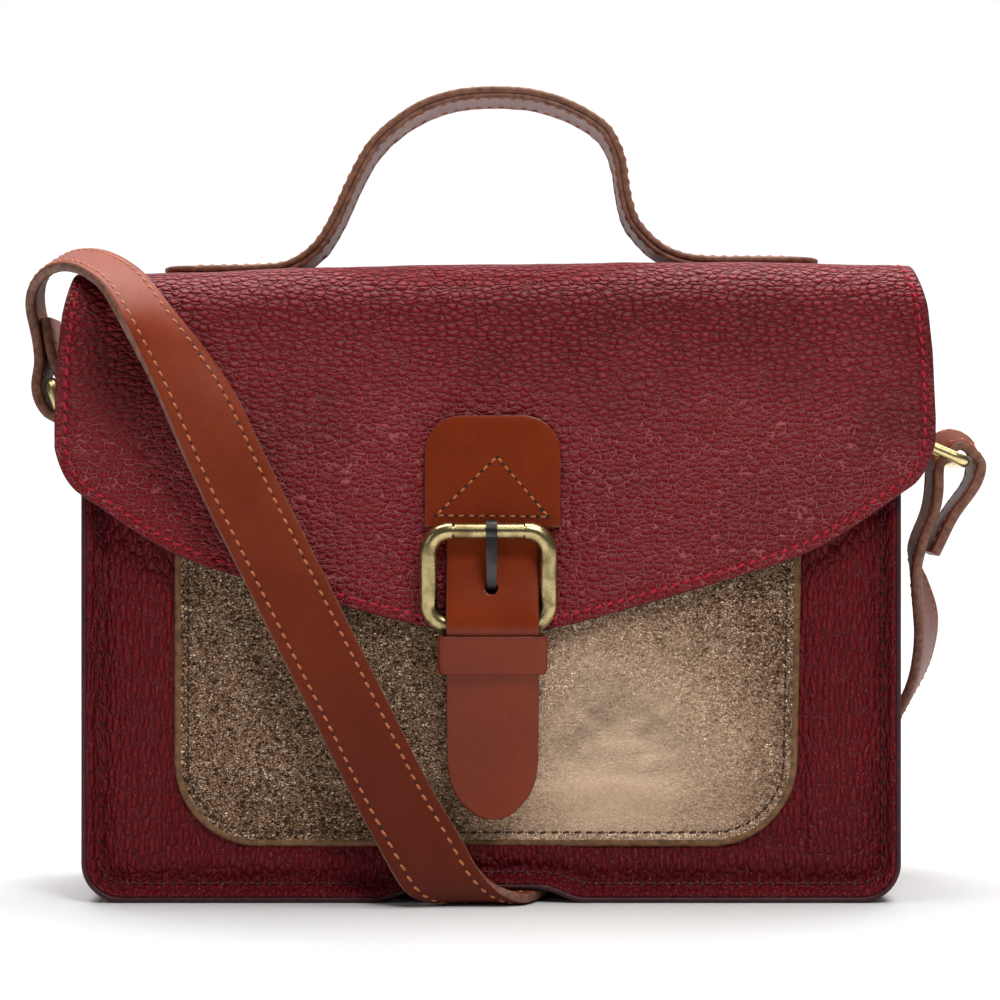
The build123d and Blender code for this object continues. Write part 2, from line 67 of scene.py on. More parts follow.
def catmull(points, per):
    """Smooth polyline through points, with per steps from each to the next."""
    p = np.array(points, float)
    q = np.vstack([2 * p[0] - p[1], p, 2 * p[-1] - p[-2]])
    out = []
    for i in range(1, len(q) - 2):
        a, b, c, d = q[i - 1:i + 3]
        for k in range(per):
            t = k / per
            out.append(0.5 * (2 * b + (c - a) * t + (2 * a - 5 * b + 4 * c - d) * t ** 2
                              + (3 * b - a - 3 * c + d) * t ** 3))
    out.append(p[-1])
    return np.array(out)


def spline(points):
    """Natural cubic through points by chord length: returns marks and a function of arc position."""
    p = np.array(points, float)
    s = lengths(p)
    h = np.diff(s)
    n = len(p)
    a = np.eye(n)
    r = np.zeros_like(p)
    for i in range(1, n - 1):
        a[i, i - 1:i + 2] = h[i - 1], 2 * (h[i - 1] + h[i]), h[i]
        r[i] = 6 * ((p[i + 1] - p[i]) / h[i] - (p[i] - p[i - 1]) / h[i - 1])
    m = np.linalg.solve(a, r)

    def at(x):
        x = np.asarray(x, float)
        k = np.clip(np.searchsorted(s, x, side="right") - 1, 0, n - 2)
        hk = h[k][:, None]
        u, v = (s[k + 1] - x)[:, None], (x - s[k])[:, None]
        pos = (m[k] * u ** 3 + m[k + 1] * v ** 3) / (6 * hk) \
            + (p[k] / hk - m[k] * hk / 6) * u + (p[k + 1] / hk - m[k + 1] * hk / 6) * v
        slope = (-m[k] * u ** 2 + m[k + 1] * v ** 2) / (2 * hk) \
            - (p[k] / hk - m[k] * hk / 6) + (p[k + 1] / hk - m[k + 1] * hk / 6)
        return pos, unit(slope), k + v[:, 0] / h[k]
    return s, at


def unit(v):
    return v / np.maximum(np.linalg.norm(v, axis=-1, keepdims=True), 1e-12)


def lengths(path):
    """Distance along a path at each of its points."""
    return np.concatenate([[0], np.cumsum(np.linalg.norm(np.diff(path, axis=0), axis=1))])


def around(n):
    """n angles evenly round a circle."""
    return [2 * math.pi * m / n for m in range(n)]


def rough(points, scale, seed=0.0, stretch=(1, 1, 1)):
    """Smooth noise in -1..1 at each point, its features about scale mm across."""
    k = np.array(stretch, float) / scale
    return np.array([noise.noise(Vector((x, y, z + seed))) for x, y, z in points * k])


# ---- meshes -----------------------------------------------------------------------------
RIM_STEPS = 5
THREAD_RINGS, THREAD_SIDES = 7, 7
HOLE_RINGS, HOLE_SIDES = (0.0, 0.55, 1.0), 8


def grid_quads(rows, cols, wrap=False, flip=False, base=0):
    quads = []
    for i in range(rows - 1):
        for j in range(cols if wrap else cols - 1):
            k = (j + 1) % cols
            q = (base + i * cols + j, base + i * cols + k,
                 base + (i + 1) * cols + k, base + (i + 1) * cols + j)
            quads.append(q[::-1] if flip else q)
    return quads


def weld(verts, faces):
    """Joins points that coincide and drops faces that lose their area."""
    key, index = np.unique(np.round(verts, 5), axis=0, return_inverse=True)
    index = index.reshape(-1)
    kept = []
    for f in faces:
        g = []
        for i in f:
            j = int(index[i])
            if not g or (g[-1] != j and g[0] != j):
                g.append(j)
        if len(g) > 2:
            kept.append(tuple(g))
    return key, kept


def vertex_normals(verts, faces):
    corner = np.array([f if len(f) == 4 else (*f, f[-1]) for f in faces])
    a, b, c, d = (verts[corner[:, i]] for i in range(4))
    area = np.cross(b - a, c - a) + np.cross(c - a, d - a)
    n = np.zeros_like(verts)
    for i in range(4):
        np.add.at(n, corner[:, i], area)
    return unit(n)


def thick(verts, faces, depth, bulge, flat=None):
    """Closed sheet under a surface, with a rim that bulges, except at the points where flat is true.
    Kinds: 0 face, 1 rim, 2 back."""
    if flat is None:
        verts, faces = weld(verts, faces)
    count = len(verts)
    normal = vertex_normals(verts, faces)
    back = verts - normal * depth
    edges = {(f[i], f[(i + 1) % len(f)]) for f in faces for i in range(len(f))}
    border = sorted((a, b) for a, b in edges if (b, a) not in edges)
    out = np.zeros_like(verts)
    for a, b in border:
        o = unit(np.cross(verts[b] - verts[a], normal[a] + normal[b]))
        out[a] += o
        out[b] += o
    out = unit(out)
    rim = sorted({i for e in border for i in e})
    seat = {v: k for k, v in enumerate(rim)}
    push = np.full(count, bulge)
    if flat is not None:
        push[flat] = 0
    blocks = [verts, back]
    for k in range(1, RIM_STEPS):
        a = math.pi * k / RIM_STEPS
        blocks.append((verts[rim] + back[rim]) / 2 + normal[rim] * (depth / 2 * math.cos(a))
                      + out[rim] * push[rim][:, None] * math.sin(a))

    def at(v, k):
        if k == 0:
            return v
        return v + count if k == RIM_STEPS else 2 * count + (k - 1) * len(rim) + seat[v]
    solid = list(faces) + [tuple(i + count for i in reversed(f)) for f in faces]
    kinds = [0] * len(faces) + [2] * len(faces)
    for k in range(RIM_STEPS):
        for a, b in border:
            solid.append((at(b, k), at(a, k), at(a, k + 1), at(b, k + 1)))
            kinds.append(1)
    return np.vstack(blocks), solid, kinds


def piece(name, verts, faces, materials, kinds=None, sharp=50):
    """Object from points in mm. Each point's rest place is kept, so that grain stays put when it bends."""
    mesh = bpy.data.meshes.new(name)
    pts = (np.asarray(verts, float) - ORIGIN) * MM
    mesh.from_pydata(pts.tolist(), [], [tuple(int(i) for i in f) for f in faces])
    for m in materials:
        mesh.materials.append(m)
    if kinds is not None:
        mesh.polygons.foreach_set("material_index", np.asarray(kinds, np.int32))
    rest = mesh.attributes.new("rest", "FLOAT_VECTOR", "POINT")
    rest.data.foreach_set("vector", pts.astype(np.float32).ravel())
    mesh.polygons.foreach_set("use_smooth", np.ones(len(mesh.polygons), bool))
    mesh.set_sharp_from_angle(angle=math.radians(sharp))
    mesh.update()
    obj = bpy.data.objects.new(name, mesh)
    bpy.context.scene.collection.objects.link(obj)
    return obj


def joined(parts):
    """Several (verts, faces, kinds) as one."""
    verts, faces, kinds, base = [], [], [], 0
    for v, f, k in parts:
        verts.append(v)
        faces += [tuple(i + base for i in q) for q in f]
        kinds += list(k)
        base += len(v)
    return np.vstack(verts), faces, kinds


def tube_faces(rows, cols, base=0):
    """Wall and both end caps of a tube made of rows rings."""
    return grid_quads(rows, cols, wrap=True, base=base) + [
        tuple(base + m for m in reversed(range(cols))),
        tuple(base + (rows - 1) * cols + m for m in range(cols))]


def stitches(path, normals, pitch, fill=0.8, radius=0.36, slant=7, lift=0.14, hole=1.45):
    """Sewn row along a path: threads that dip into the leather, with a needle hole between them, a small disc
    painted near black as the hole's shade.
    fill is the thread's share of the pitch; hole is the needle hole's radius in thread radii.
    Kinds: 0 thread, 1 hole."""
    path, normals = np.asarray(path, float), np.asarray(normals, float)
    s = lengths(path)
    count = max(int(s[-1] / pitch), 1)
    step = s[-1] / count
    reach, lean = step * fill / 2, math.tan(math.radians(slant))
    verts, faces, kinds = [], [], []

    def at(x):
        p = np.array([np.interp(x, s, path[:, i]) for i in range(3)])
        return p, unit(np.array([np.interp(x, s, normals[:, i]) for i in range(3)]))
    for i in range(count):
        mid = (i + 0.5) * step
        n = at(mid)[1]
        t = unit(at(mid + step * 0.45)[0] - at(mid - step * 0.45)[0])
        side = np.cross(n, t)
        base = len(verts)
        for u in np.linspace(-1, 1, THREAD_RINGS):
            r = radius * math.sqrt(max(1 - 0.82 * abs(u) ** 3, 0.02))
            c = at(mid + u * reach)[0] + side * (lean * u * reach) + n * (lift - 0.5 * u * u)
            verts += [c + side * (r * math.cos(w)) + n * (0.8 * r * math.sin(w))
                      for w in around(THREAD_SIDES)]
        faces += tube_faces(THREAD_RINGS, THREAD_SIDES, base)
        kinds += [0] * (len(faces) - len(kinds))
        c, n = at(i * step)
        base = len(verts)
        for e in HOLE_RINGS:
            r = radius * hole * e + 0.02
            verts += [c + (side * math.cos(w) + t * math.sin(w)) * r + n * (0.06 - 0.12 * e * e)
                      for w in around(HOLE_SIDES)]
        faces += tube_faces(len(HOLE_RINGS), HOLE_SIDES, base)
        kinds += [1] * (len(faces) - len(kinds))
    return np.array(verts), faces, kinds


# ---- materials --------------------------------------------------------------------------
def lin(*display):
    """Linear colour from 0-255 display values."""
    parts = [c / 255 for c in display]
    return (*(c / 12.92 if c <= 0.04045 else ((c + 0.055) / 1.055) ** 2.4 for c in parts), 1)


class Tree:
    """A material's nodes. An input may be a value, a node, or (node, output name)."""

    def __init__(self, name, rest=True):
        self.mat = bpy.data.materials.new(name)
        self.mat.use_nodes = True
        self.nt = self.mat.node_tree
        self.nt.nodes.clear()
        if rest:
            self.co = (self("Attribute", attribute_name="rest"), "Vector")
        else:
            self.co = (self("TexCoord"), "Object")

    def plug(self, value, socket):
        """Gives a socket a value, a node's first output, or (node, output)."""
        if isinstance(value, bpy.types.Node):
            value = (value, 0)
        if isinstance(value, tuple) and isinstance(value[0], bpy.types.Node):
            self.nt.links.new(value[0].outputs[value[1]], socket)
        else:
            socket.default_value = value

    def __call__(self, kind, values=None, **settings):
        node = self.nt.nodes.new("ShaderNode" + kind)
        for k, v in settings.items():
            setattr(node, k, v)
        for k, v in (values or {}).items():
            self.plug(v, node.inputs[k])
        return node

    def plus(self, a, b):
        return self("Math", {0: a, 1: b}, operation="ADD")

    def times(self, a, b):
        return self("Math", {0: a, 1: b}, operation="MULTIPLY")

    def spread(self, value, a, b, c=0.0, d=1.0):
        """Value from a..b mapped smoothly to c..d."""
        return self("MapRange", {"Value": value, "From Min": a, "From Max": b, "To Min": c, "To Max": d},
                    interpolation_type="SMOOTHSTEP")

    def mix(self, f, a, b):
        """Colour a where f is 0, b where it is 1."""
        node = self("Mix", data_type="RGBA")
        for index, v in ((0, f), (6, a), (7, b)):
            self.plug(v, node.inputs[index])
        return (node, 2)

    def noise(self, scale, detail, roughness=0.5, co=None, distortion=0.0):
        return self("TexNoise", {"Vector": self.co if co is None else co, "Scale": scale, "Detail": detail,
                                 "Roughness": roughness, "Distortion": distortion})

    def walls(self, co, scale, randomness=1.0):
        """Distance from the walls between cells."""
        return self("TexVoronoi", {"Vector": co, "Scale": scale, "Randomness": randomness},
                    feature="DISTANCE_TO_EDGE")

    def warped(self, amount, scale, stretch=(1, 1, 1)):
        """Coordinates pushed about by noise, then stretched."""
        wob = self.noise(scale, 2.0)
        off = self("VectorMath", {0: (wob, "Color"), 1: (0.5, 0.5, 0.5)}, operation="SUBTRACT")
        off = self("VectorMath", {0: off, "Scale": amount}, operation="SCALE")
        co = self("VectorMath", {0: self.co, 1: off}, operation="ADD")
        return self("VectorMath", {0: co, 1: stretch}, operation="MULTIPLY")

    def surface(self, color, roughness, bump=None, strength=0.0, distance=0.0, **constants):
        shader = self("BsdfPrincipled", {"Base Color": color, "Roughness": roughness})
        for key, v in constants.items():
            shader.inputs[key.replace("_", " ")].default_value = v
        if bump is not None:
            normal = self("Bump", {"Height": bump, "Strength": strength, "Distance": distance})
            self.plug(normal, shader.inputs["Normal"])
        self("OutputMaterial", {"Surface": shader})
        return self.mat


def pebbled(name, base, dark, light, sheen, sheen_strength, cell, stretch, depth):
    """Grained leather: rounded pebbles parted by creases, finer pores, and slow changes of tone.
    Low down, the walls of its pebbles take the sheen colour, a painted highlight where light grazes them, as
    strongly as the argument after sheen."""
    t = Tree(name)
    co = t.warped(0.0011, 420, stretch)
    near = t("TexVoronoi", {"Vector": co, "Scale": 1 / cell, "Smoothness": 0.35, "Randomness": 0.9},
             feature="SMOOTH_F1")
    dome = t.spread(near, 0.75, 0.1)
    edge = t.walls(co, 1 / cell, 0.9)
    crease = t.spread(edge, 0.0, 0.16)
    fine = t.spread(t.walls(t.warped(0.0005, 900, stretch), 2.3 / cell), 0.0, 0.25)
    pores = t.noise(2600, 3.0, 0.6)
    cloud = t.noise(26, 3.0)
    height = t.plus(t.times(crease, 0.45), t.times(dome, 0.75))
    height = t.plus(height, t.times(fine, 0.16))
    height = t.plus(height, t.times(pores, 0.08))
    # Painted highlight: the pebbles' tops are lighter, as if lit from above.
    color = t.mix(t.times(dome, 0.8), base, light)
    color = t.mix(t.times(t.spread(cloud, 0.4, 0.75), 0.3), color, dark)
    # Painted shade: the creases are darker, as if shaded.
    color = t.mix(t.times(t.spread(crease, 1.0, 0.0), 0.34), color, dark)
    # Painted highlight: the pebble walls below about 0.2 m take the sheen colour, as if light grazed them.
    sheen_height = t.plus((t("SeparateXYZ", {"Vector": t.co}), "Z"), t.times(cloud, 0.07))
    wear_and_sheen = t.times(t.spread(edge, 0.085, 0.0), t.spread(sheen_height, 0.215, 0.165, 0.0, sheen_strength))
    color = t.mix(wear_and_sheen, color, sheen)
    # Painted shade in the finer creases too.
    color = t.mix(t.times(t.spread(fine, 1.0, 0.0), 0.08), color, dark)
    shine = t.plus(t.plus(t.times(crease, -0.10), t.times(pores, 0.10)), 0.41)
    return t.surface(color, shine, height, 1.0, depth, Specular_IOR_Level=0.2)


def smooth_leather(name, base, dark, light, gloss, fade=None, coat=0.12, wrinkle=0.0, rest=True, spec=0.2):
    """Pull-up leather: cloudy tone, fine pores, faint creases, and painted shade that darkens it downwards
    within fade's heights, as if lit from above.
    """
    t = Tree(name, rest)
    cloud = t.noise(45, 5.0, 0.62)
    mottle = t.noise(900, 4.0, 0.65)
    pores = t("TexVoronoi", {"Vector": t.co, "Scale": 2300}, feature="F1")
    color = t.mix(t.spread(cloud, 0.32, 0.70), base, light)
    color = t.mix(t.times(t.spread(mottle, 0.42, 0.72), 0.22), color, dark)
    # Painted shade: darker lower down, within fade's heights.
    if fade is not None:
        tall = t("SeparateXYZ", {"Vector": t.co})
        color = t.mix(t.spread((tall, "Z"), fade[1] * MM, fade[0] * MM, 0.0, 0.75), color, dark)
    height = t.plus(t.times(pores, 0.35), t.times(mottle, 0.5))
    if wrinkle:
        lines = t.walls(t.warped(0.003, 120, (0.35, 1.0, 0.35)), 900)
        height = t.plus(height, t.times(t.spread(lines, 0.0, 0.2), wrinkle))
    shine = t.plus(t.times(mottle, 0.22), gloss - 0.1)
    return t.surface(color, shine, height, 0.35, 0.00012, Specular_IOR_Level=spec,
                     Coat_Weight=coat, Coat_Roughness=0.28)


def painted_edge(name, base, dark):
    """Layered cut edge under edge paint: faint lines along it and spots of wear."""
    t = Tree(name)
    grain = t.noise(420, 5.0, 0.7)
    wear_and_sheen = t.noise(1500, 2.0)
    color = t.mix(t.spread(grain, 0.35, 0.68), base, dark)
    height = t.plus(t.times(grain, 0.7), t.times(wear_and_sheen, 0.3))
    shine = t.spread(wear_and_sheen, 0.3, 0.7, 0.42, 0.6)
    return t.surface(color, shine, height, 0.35, 0.0002, Specular_IOR_Level=0.4)


def foil(name, highlight_spot):
    """Crackled bronze foil with dark cracks. Its ridges are painted bright as painted highlight and its
    valleys dark as painted shade. All of this fades out at one smooth spot, which is painted lighter as a
    painted highlight.
    """
    t = Tree(name)
    co = t.warped(0.0008, 700, (1.0, 1.0, 1.6))
    crack = t.walls(co, 900)
    ripple = t.noise(800, 3.0, 0.6, co, 0.9)
    grit = t.noise(2100, 2.0, 0.6)
    patch = t.noise(30, 4.0, 0.6)
    away = t("VectorMath", {0: t.co, 1: highlight_spot}, operation="DISTANCE")
    away = t.plus((away, "Value"), t.times(patch, 0.03))
    outside_highlight = t.spread(away, 0.022, 0.085, 0.12, 1.0)
    open_up = t.times(t.spread(crack, 0.16, 0.01), t.times(outside_highlight, 0.85))
    # Painted highlight: lighter towards the spot.
    color = t.mix(outside_highlight, lin(214, 184, 156), lin(186, 148, 116))
    # Painted shade in the ripple's valleys.
    color = t.mix(t.times(t.spread(ripple, 0.51, 0.36), outside_highlight), color, lin(70, 44, 30))
    # Painted highlight on the ripple's ridges.
    color = t.mix(t.times(t.spread(ripple, 0.55, 0.66), outside_highlight), color, lin(255, 232, 206))
    color = t.mix(open_up, color, lin(40, 24, 18))
    height = t.plus(t.times(grit, 0.35), t.times(ripple, 1.4))
    height = t.times(t.plus(height, t.times(open_up, -0.5)), outside_highlight)
    shine = t.spread(grit, 0.35, 0.65, 0.24, 0.40)
    return t.surface(color, shine, height, 0.8, 0.0007, Metallic=0.92)


def metal(name, base, dark, gloss, wear):
    """Plated metal, darker in patches, with fine brushing."""
    t = Tree(name, rest=False)
    patina = t.noise(150, 4.0, 0.6)
    brush = t.noise(2400, 3.0)
    color = t.mix(t.times(t.spread(patina, 0.42, 0.68), wear), base, dark)
    shine = t.plus(t.times(brush, 0.16), t.spread(patina, 0.3, 0.7, gloss - 0.08, gloss + 0.04))
    return t.surface(color, shine, brush, 0.15, 0.0001, Metallic=1.0)


def thread(name, base, dark):
    """Twisted thread."""
    t = Tree(name)
    twist = t.noise(3200, 2.0)
    color = t.mix(t.spread(twist, 0.35, 0.65), base, dark)
    return t.surface(color, 0.62, twist, 0.5, 0.00015, Specular_IOR_Level=0.3)


def cloth(name, base, dark, pitch=0.0009, rest=True):
    """Plain woven cloth: two crossed sets of yarns."""
    t = Tree(name, rest)
    co = t.warped(0.0004, 300)
    xyz = t("SeparateXYZ", {"Vector": co})
    across, along = (t("Math", {0: t.times(way, 2 * math.pi / pitch)}, operation="SINE")
                     for way in (t.plus((xyz, "X"), (xyz, "Y")), (xyz, "Z")))
    weave = t.times(across, along)
    slub = t.noise(180, 4.0)
    color = t.mix(t.spread(weave, -1.0, 1.0), dark, base)
    color = t.mix(t.times(slub, 0.35), color, dark)
    return t.surface(color, 0.85, weave, 0.5, 0.0002, Specular_IOR_Level=0.2, Sheen_Weight=0.2)


# Third colour: painted highlight on pebble tops. Second: darker patches, and painted shade in the creases.
# Fourth: painted sheen on the pebble walls low down.
FLAP_SKIN = pebbled("burgundy_grain", lin(124, 12, 23), lin(58, 4, 10), lin(146, 22, 32), lin(190, 96, 100),
                    0.75, 0.0020, (0.7, 1.0, 1.3), 0.0012)
BODY_SKIN = pebbled("burgundy_upright_grain", lin(106, 14, 24), lin(42, 3, 8), lin(120, 20, 29),
                    lin(134, 56, 60), 0.25, 0.0024, (1.35, 1.0, 0.5), 0.0010)
RED_EDGE = painted_edge("burgundy_edge", lin(70, 16, 24), lin(40, 8, 14))
FLAP_UNDER = smooth_leather("burgundy_split", lin(92, 36, 38), lin(58, 20, 23), lin(108, 50, 50), 0.7,
                            coat=0.0)
# The strap is painted darker towards the floor, as painted shade for light from above.
COGNAC = smooth_leather("cognac_strap", lin(124, 48, 23), lin(74, 22, 10), lin(136, 57, 30), 0.44,
                        coat=0.03, fade=(0, 210), spec=0.14)
TAB_SKIN = smooth_leather("cognac_tab", lin(118, 41, 13), lin(80, 23, 7), lin(130, 48, 17), 0.28, coat=0.07)
STRAP_BACK = smooth_leather("cognac_back", lin(104, 50, 32), lin(62, 26, 15), lin(122, 64, 44), 0.5,
                            coat=0.0, wrinkle=0.5, spec=0.04)
STRAP_EDGE = painted_edge("taupe_edge", lin(138, 94, 76), lin(92, 56, 42))
BROWN_EDGE = painted_edge("brown_edge", lin(142, 98, 76), lin(94, 58, 42))
TAB_EDGE = painted_edge("tab_edge", lin(96, 42, 20), lin(60, 24, 12))
HANDLE_SKIN = smooth_leather("handle_leather", lin(130, 60, 36), lin(82, 32, 20), lin(146, 74, 48), 0.33)
HANDLE_UNDER = smooth_leather("handle_underside", lin(120, 68, 60), lin(70, 34, 28), lin(150, 98, 90), 0.42,
                              coat=0.0, spec=0.12, wrinkle=1.2)
RING_TAB_SKIN = smooth_leather("ring_tab_leather", lin(86, 18, 26), lin(50, 8, 13), lin(104, 28, 34), 0.42,
                               rest=False)
# The point is the middle of the foil's painted highlight.
FOIL = foil("bronze_foil", (0.034, -0.051, 0.040))
FOIL_EDGE = painted_edge("foil_edge", lin(128, 92, 56), lin(86, 56, 32))
ANTIQUE = metal("antique_brass", lin(196, 178, 128), lin(78, 60, 34), 0.22, 0.62)
PALE = metal("pale_brass", lin(226, 208, 150), lin(160, 138, 88), 0.24, 0.35)
GUNMETAL = metal("gunmetal", lin(74, 72, 70), lin(36, 33, 30), 0.32, 0.7)
CRIMSON = thread("crimson_thread", lin(200, 30, 52), lin(150, 14, 34))
WINE = thread("wine_thread", lin(110, 24, 34), lin(70, 10, 18))
TAN = thread("tan_thread", lin(200, 124, 78), lin(152, 84, 48))
UMBER = thread("umber_thread", lin(74, 50, 38), lin(44, 28, 22))
# Painted shade: the needle holes are near black, as the shade inside a hole.
HOLE_SHADE = painted_edge("needle_hole_shade", lin(26, 12, 10), lin(12, 6, 5))
LINING = cloth("lining_cloth", lin(150, 132, 108), lin(112, 96, 76))
BOARD = cloth("stiffener", lin(122, 108, 88), lin(96, 84, 68), 0.0016, rest=False)
BURGUNDY = [BODY_SKIN, RED_EDGE, FLAP_UNDER]
TAB_LEATHER = [TAB_SKIN, TAB_EDGE, TAB_SKIN]


def place(*p):
    """A point in mm about the bag's base, as metres in the frame."""
    return tuple((np.array(p, float) - ORIGIN) * MM)


def finish_piece(obj, body, slot_name, *nodes, ends=None):
    """Attaches a piece to its body, or, when it has ends, bakes its placement into its points; and hides the
    CAD nodes it stands for. slot_name is not used.
    """
    if ends is None:
        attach(obj, body)
    else:
        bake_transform(obj)
    if nodes:
        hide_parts(*nodes)


def sheet(name, verts, quads, depth, bulge, materials, body, slot_name, *nodes):
    """A piece cut from one sheet of leather or cloth."""
    v, f, k = thick(verts, quads, depth, bulge)
    finish_piece(piece(name, v, f, materials, k), body, slot_name, *nodes)


def sewn(name, rows, colour, body, slot_name, ends=None):
    """A piece of sewn rows, none of it under the floor."""
    v, f, k = joined(rows)
    v[:, 2] = np.maximum(v[:, 2], 0.05)
    finish_piece(piece(name, v, f, [colour, HOLE_SHADE], k), body, slot_name, ends=ends)


# ---- bag body ---------------------------------------------------------------------------
def rise(x, y):
    """How far the base lifts over the strap, which crosses it slantwise: from x = -36 to 28 at the front, and
    from -58 to 78 at the back."""
    back = np.clip((y + HALF_DEPTH) / (2 * HALF_DEPTH), 0, 1)
    up = smooth(0, 1, (x + 36 + 22 * back) / (16 + 18 * back))
    down = smooth(0, 1, (x - 14 - 28 * back) / (14 + 22 * back))
    return BASE_RISE * up * (1 - down)


def lifted(x, y, z):
    """Height z after the base's rise, which dies away upwards."""
    return z + rise(x, y) * np.clip(1 - z / RISE_FADE, 0, 1)


def u_path(left, right, low, high, r, inset, steps):
    """Points (x, z) down the left, along the base and up the right, r at the corners, pulled in by inset."""
    nz, na, nx = steps
    zs = np.linspace(high, low + r, nz)
    a = np.radians(np.linspace(180, 270, na))
    xs = np.linspace(left + r, right - r, nx)
    side = np.column_stack([np.full(nz, left + inset), zs])
    arc_l = np.column_stack([left + r + (r - inset) * np.cos(a), low + r + (r - inset) * np.sin(a)])
    base = np.column_stack([xs, np.full(nx, low + inset)])
    arc_r = np.column_stack([left + right - arc_l[::-1, 0], arc_l[::-1, 1]])
    other = np.column_stack([np.full(nz, right - inset), zs[::-1]])
    return np.vstack([side, arc_l[1:], base[1:], arc_r[1:], other[1:]])


def u_patch(left, right, low, high, r, insets, steps, flip=False):
    """Patch inside a U outline: bands at the insets, then a grid. Returns points (x, inset, z) and quads."""
    nz, na, nx = steps
    bands = [u_path(left, right, low, high, r, d, steps) for d in insets]
    m = len(bands[0])
    flat = np.vstack([np.column_stack([b[:, 0], np.full(m, d), b[:, 1]]) for b, d in zip(bands, insets)])
    quads = grid_quads(len(insets), m, flip=flip)
    zs = np.linspace(high, low + r, nz)
    xs = np.linspace(left + r, right - r, nx)
    inner = np.array([(x, r + min(x - left - r, right - r - x, z - low - r), z) for z in zs for x in xs])
    quads += grid_quads(nz, nx, flip=not flip, base=len(flat))
    return np.vstack([flat, inner]), quads


# A panel's turned-out edge: distance in from the edge, and how far the leather stands from the bag's middle.
LIP = np.array([(0, 37.7), (0.45, 37.95), (0.9, 37.9), (1.3, 37.5), (1.6, 36.9), (2.0, 36.0), (2.5, 35.0),
                (3.1, 34.1), (3.8, 33.3), (4.6, 32.9), (5.5, 33.0), (6.6, 33.3), (8.0, 33.4)])
PANEL_HALF, PANEL_LOW, PANEL_R = 123.4, 1.6, 10.4
PANEL_Y, UNDER_POCKET_Y = 33.4, 32.5


def body_panel(side):
    """Panel with its edge turned out to the seam; side -1 is the front, 1 the back."""
    pts, quads = u_patch(-PANEL_HALF, PANEL_HALF, PANEL_LOW, MOUTH_Z, PANEL_R, [*LIP[:, 0], 9.4, PANEL_R],
                         (100, 10, 140), flip=side > 0)
    x, d, z = pts.T
    swell = np.ones_like(x)
    if side < 0:
        swell -= smooth(-100, -96, x) * (1 - smooth(95, 99, x)) * smooth(13, 18, z)
    xz = np.column_stack([x, 0 * x, z])
    soft = 0.9 + 0.8 * rough(xz, 42, 3 + side) + 0.45 * rough(xz, 13, 7, (1.6, 1, 0.45))
    soft += 0.5 * np.abs(rough(xz, 11, 11 + side, (0.5, 1, 1.7))) * (1 - smooth(10, 22, z))
    if side > 0:
        soft += 1.6 * smooth(4, 50, d)
    y = np.interp(d, *LIP.T) + np.maximum(soft, -0.3) * swell * (1 - smooth(150, 182, z)) * smooth(4.6, 10, d)
    y += (UNDER_POCKET_Y - PANEL_Y) * (1 - swell) * smooth(6.6, 8, d)
    label = "front_panel" if side < 0 else "back_panel"
    sheet(f"{label}_leather", np.column_stack([x, side * y, lifted(x, side * y, z)]), quads, 1.4, 0.05,
          BURGUNDY, "bag_body", "burgundy_leather", label)


def wrap(inset, half, sag, steps, columns):
    """Strip that runs down one side, under the base and up the other."""
    top = MOUTH_Z - (inset > 1)
    path = u_path(-HALF_WIDTH, HALF_WIDTH, 0, top, CORNER_R, inset, steps)
    ins = u_path(-HALF_WIDTH, HALF_WIDTH, 0, top, CORNER_R, inset + 1, steps) - path
    c = np.linspace(-1, 1, columns)
    x, z = (np.repeat(way, columns) for way in path.T)
    y = np.tile(half * np.sign(c) * (1 - (1 - np.abs(c)) ** 1.25), len(path))
    n = np.repeat(ins, columns, axis=0)
    hollow = (1 - (y / half) ** 2) * (1 - smooth(110, 140, z)) * smooth(6, 40, z) * sag
    if sag:
        uneven = 0.35 * rough(np.column_stack([x, y, z]), 16, 2, (1, 1.6, 0.5)) + 0.2
        hollow += uneven * (1 - (y / half) ** 4) * (1 - smooth(125, 142, z)) * smooth(3, 16, z)
    verts = np.column_stack([x + n[:, 0] * hollow, y, z + n[:, 1] * hollow])
    verts[:, 2] = lifted(*verts.T)
    return verts, grid_quads(len(path), columns)


def gusset():
    sheet("gusset_leather", *wrap(0.0, HALF_DEPTH - 0.5, 1.6, (110, 14, 150), 44), 1.55, 0.5,
          BURGUNDY, "bag_body", "burgundy_leather", "gusset")


def body_stitches(side):
    path, inner = (u_path(-HALF_WIDTH, HALF_WIDTH, 0, MOUTH_Z - 2, CORNER_R, d, (80, 14, 120))
                   for d in (5.4, 6.4))
    ins = inner - path
    y = np.full(len(path), side * 33.75)
    pts = np.column_stack([path[:, 0], y, lifted(path[:, 0], y, path[:, 1])])
    n = unit(np.column_stack([0.8 * ins[:, 0], np.full(len(path), float(side)), 0.8 * ins[:, 1]]))
    sewn("front_seam_stitches" if side < 0 else "back_seam_stitches", [stitches(pts, n, 3.6, lift=0.1)],
         WINE, "bag_body", "burgundy_leather")


def lining():
    """Cloth bag inside the leather one."""
    parts = [thick(*wrap(3.4, 30.6, 0.0, (60, 8, 90), 26), 0.8, 0.2)]
    for side in (-1, 1):
        pts, quads = u_patch(-121.6, 121.6, 3.4, MOUTH_Z - 1, 8.6, [0, 2, 4, 6, 8.6], (70, 8, 90),
                             flip=side > 0)
        x, d, z = pts.T
        soft = (0.7 * rough(np.column_stack([x, 0 * x, z]), 28, 20 + side) + 0.6) * smooth(0, 20, d)
        soft = soft * (1 - smooth(165, 185, z))
        verts = np.column_stack([x, side * (30.9 - soft), lifted(x, side * 30.9, z)])
        parts.append(thick(verts, quads, 0.7, 0.2))
    v, f, k = joined(parts)
    finish_piece(piece("lining_bag", v, f, [LINING] * 3, k), "bag_body", "lining_cloth", "lining")


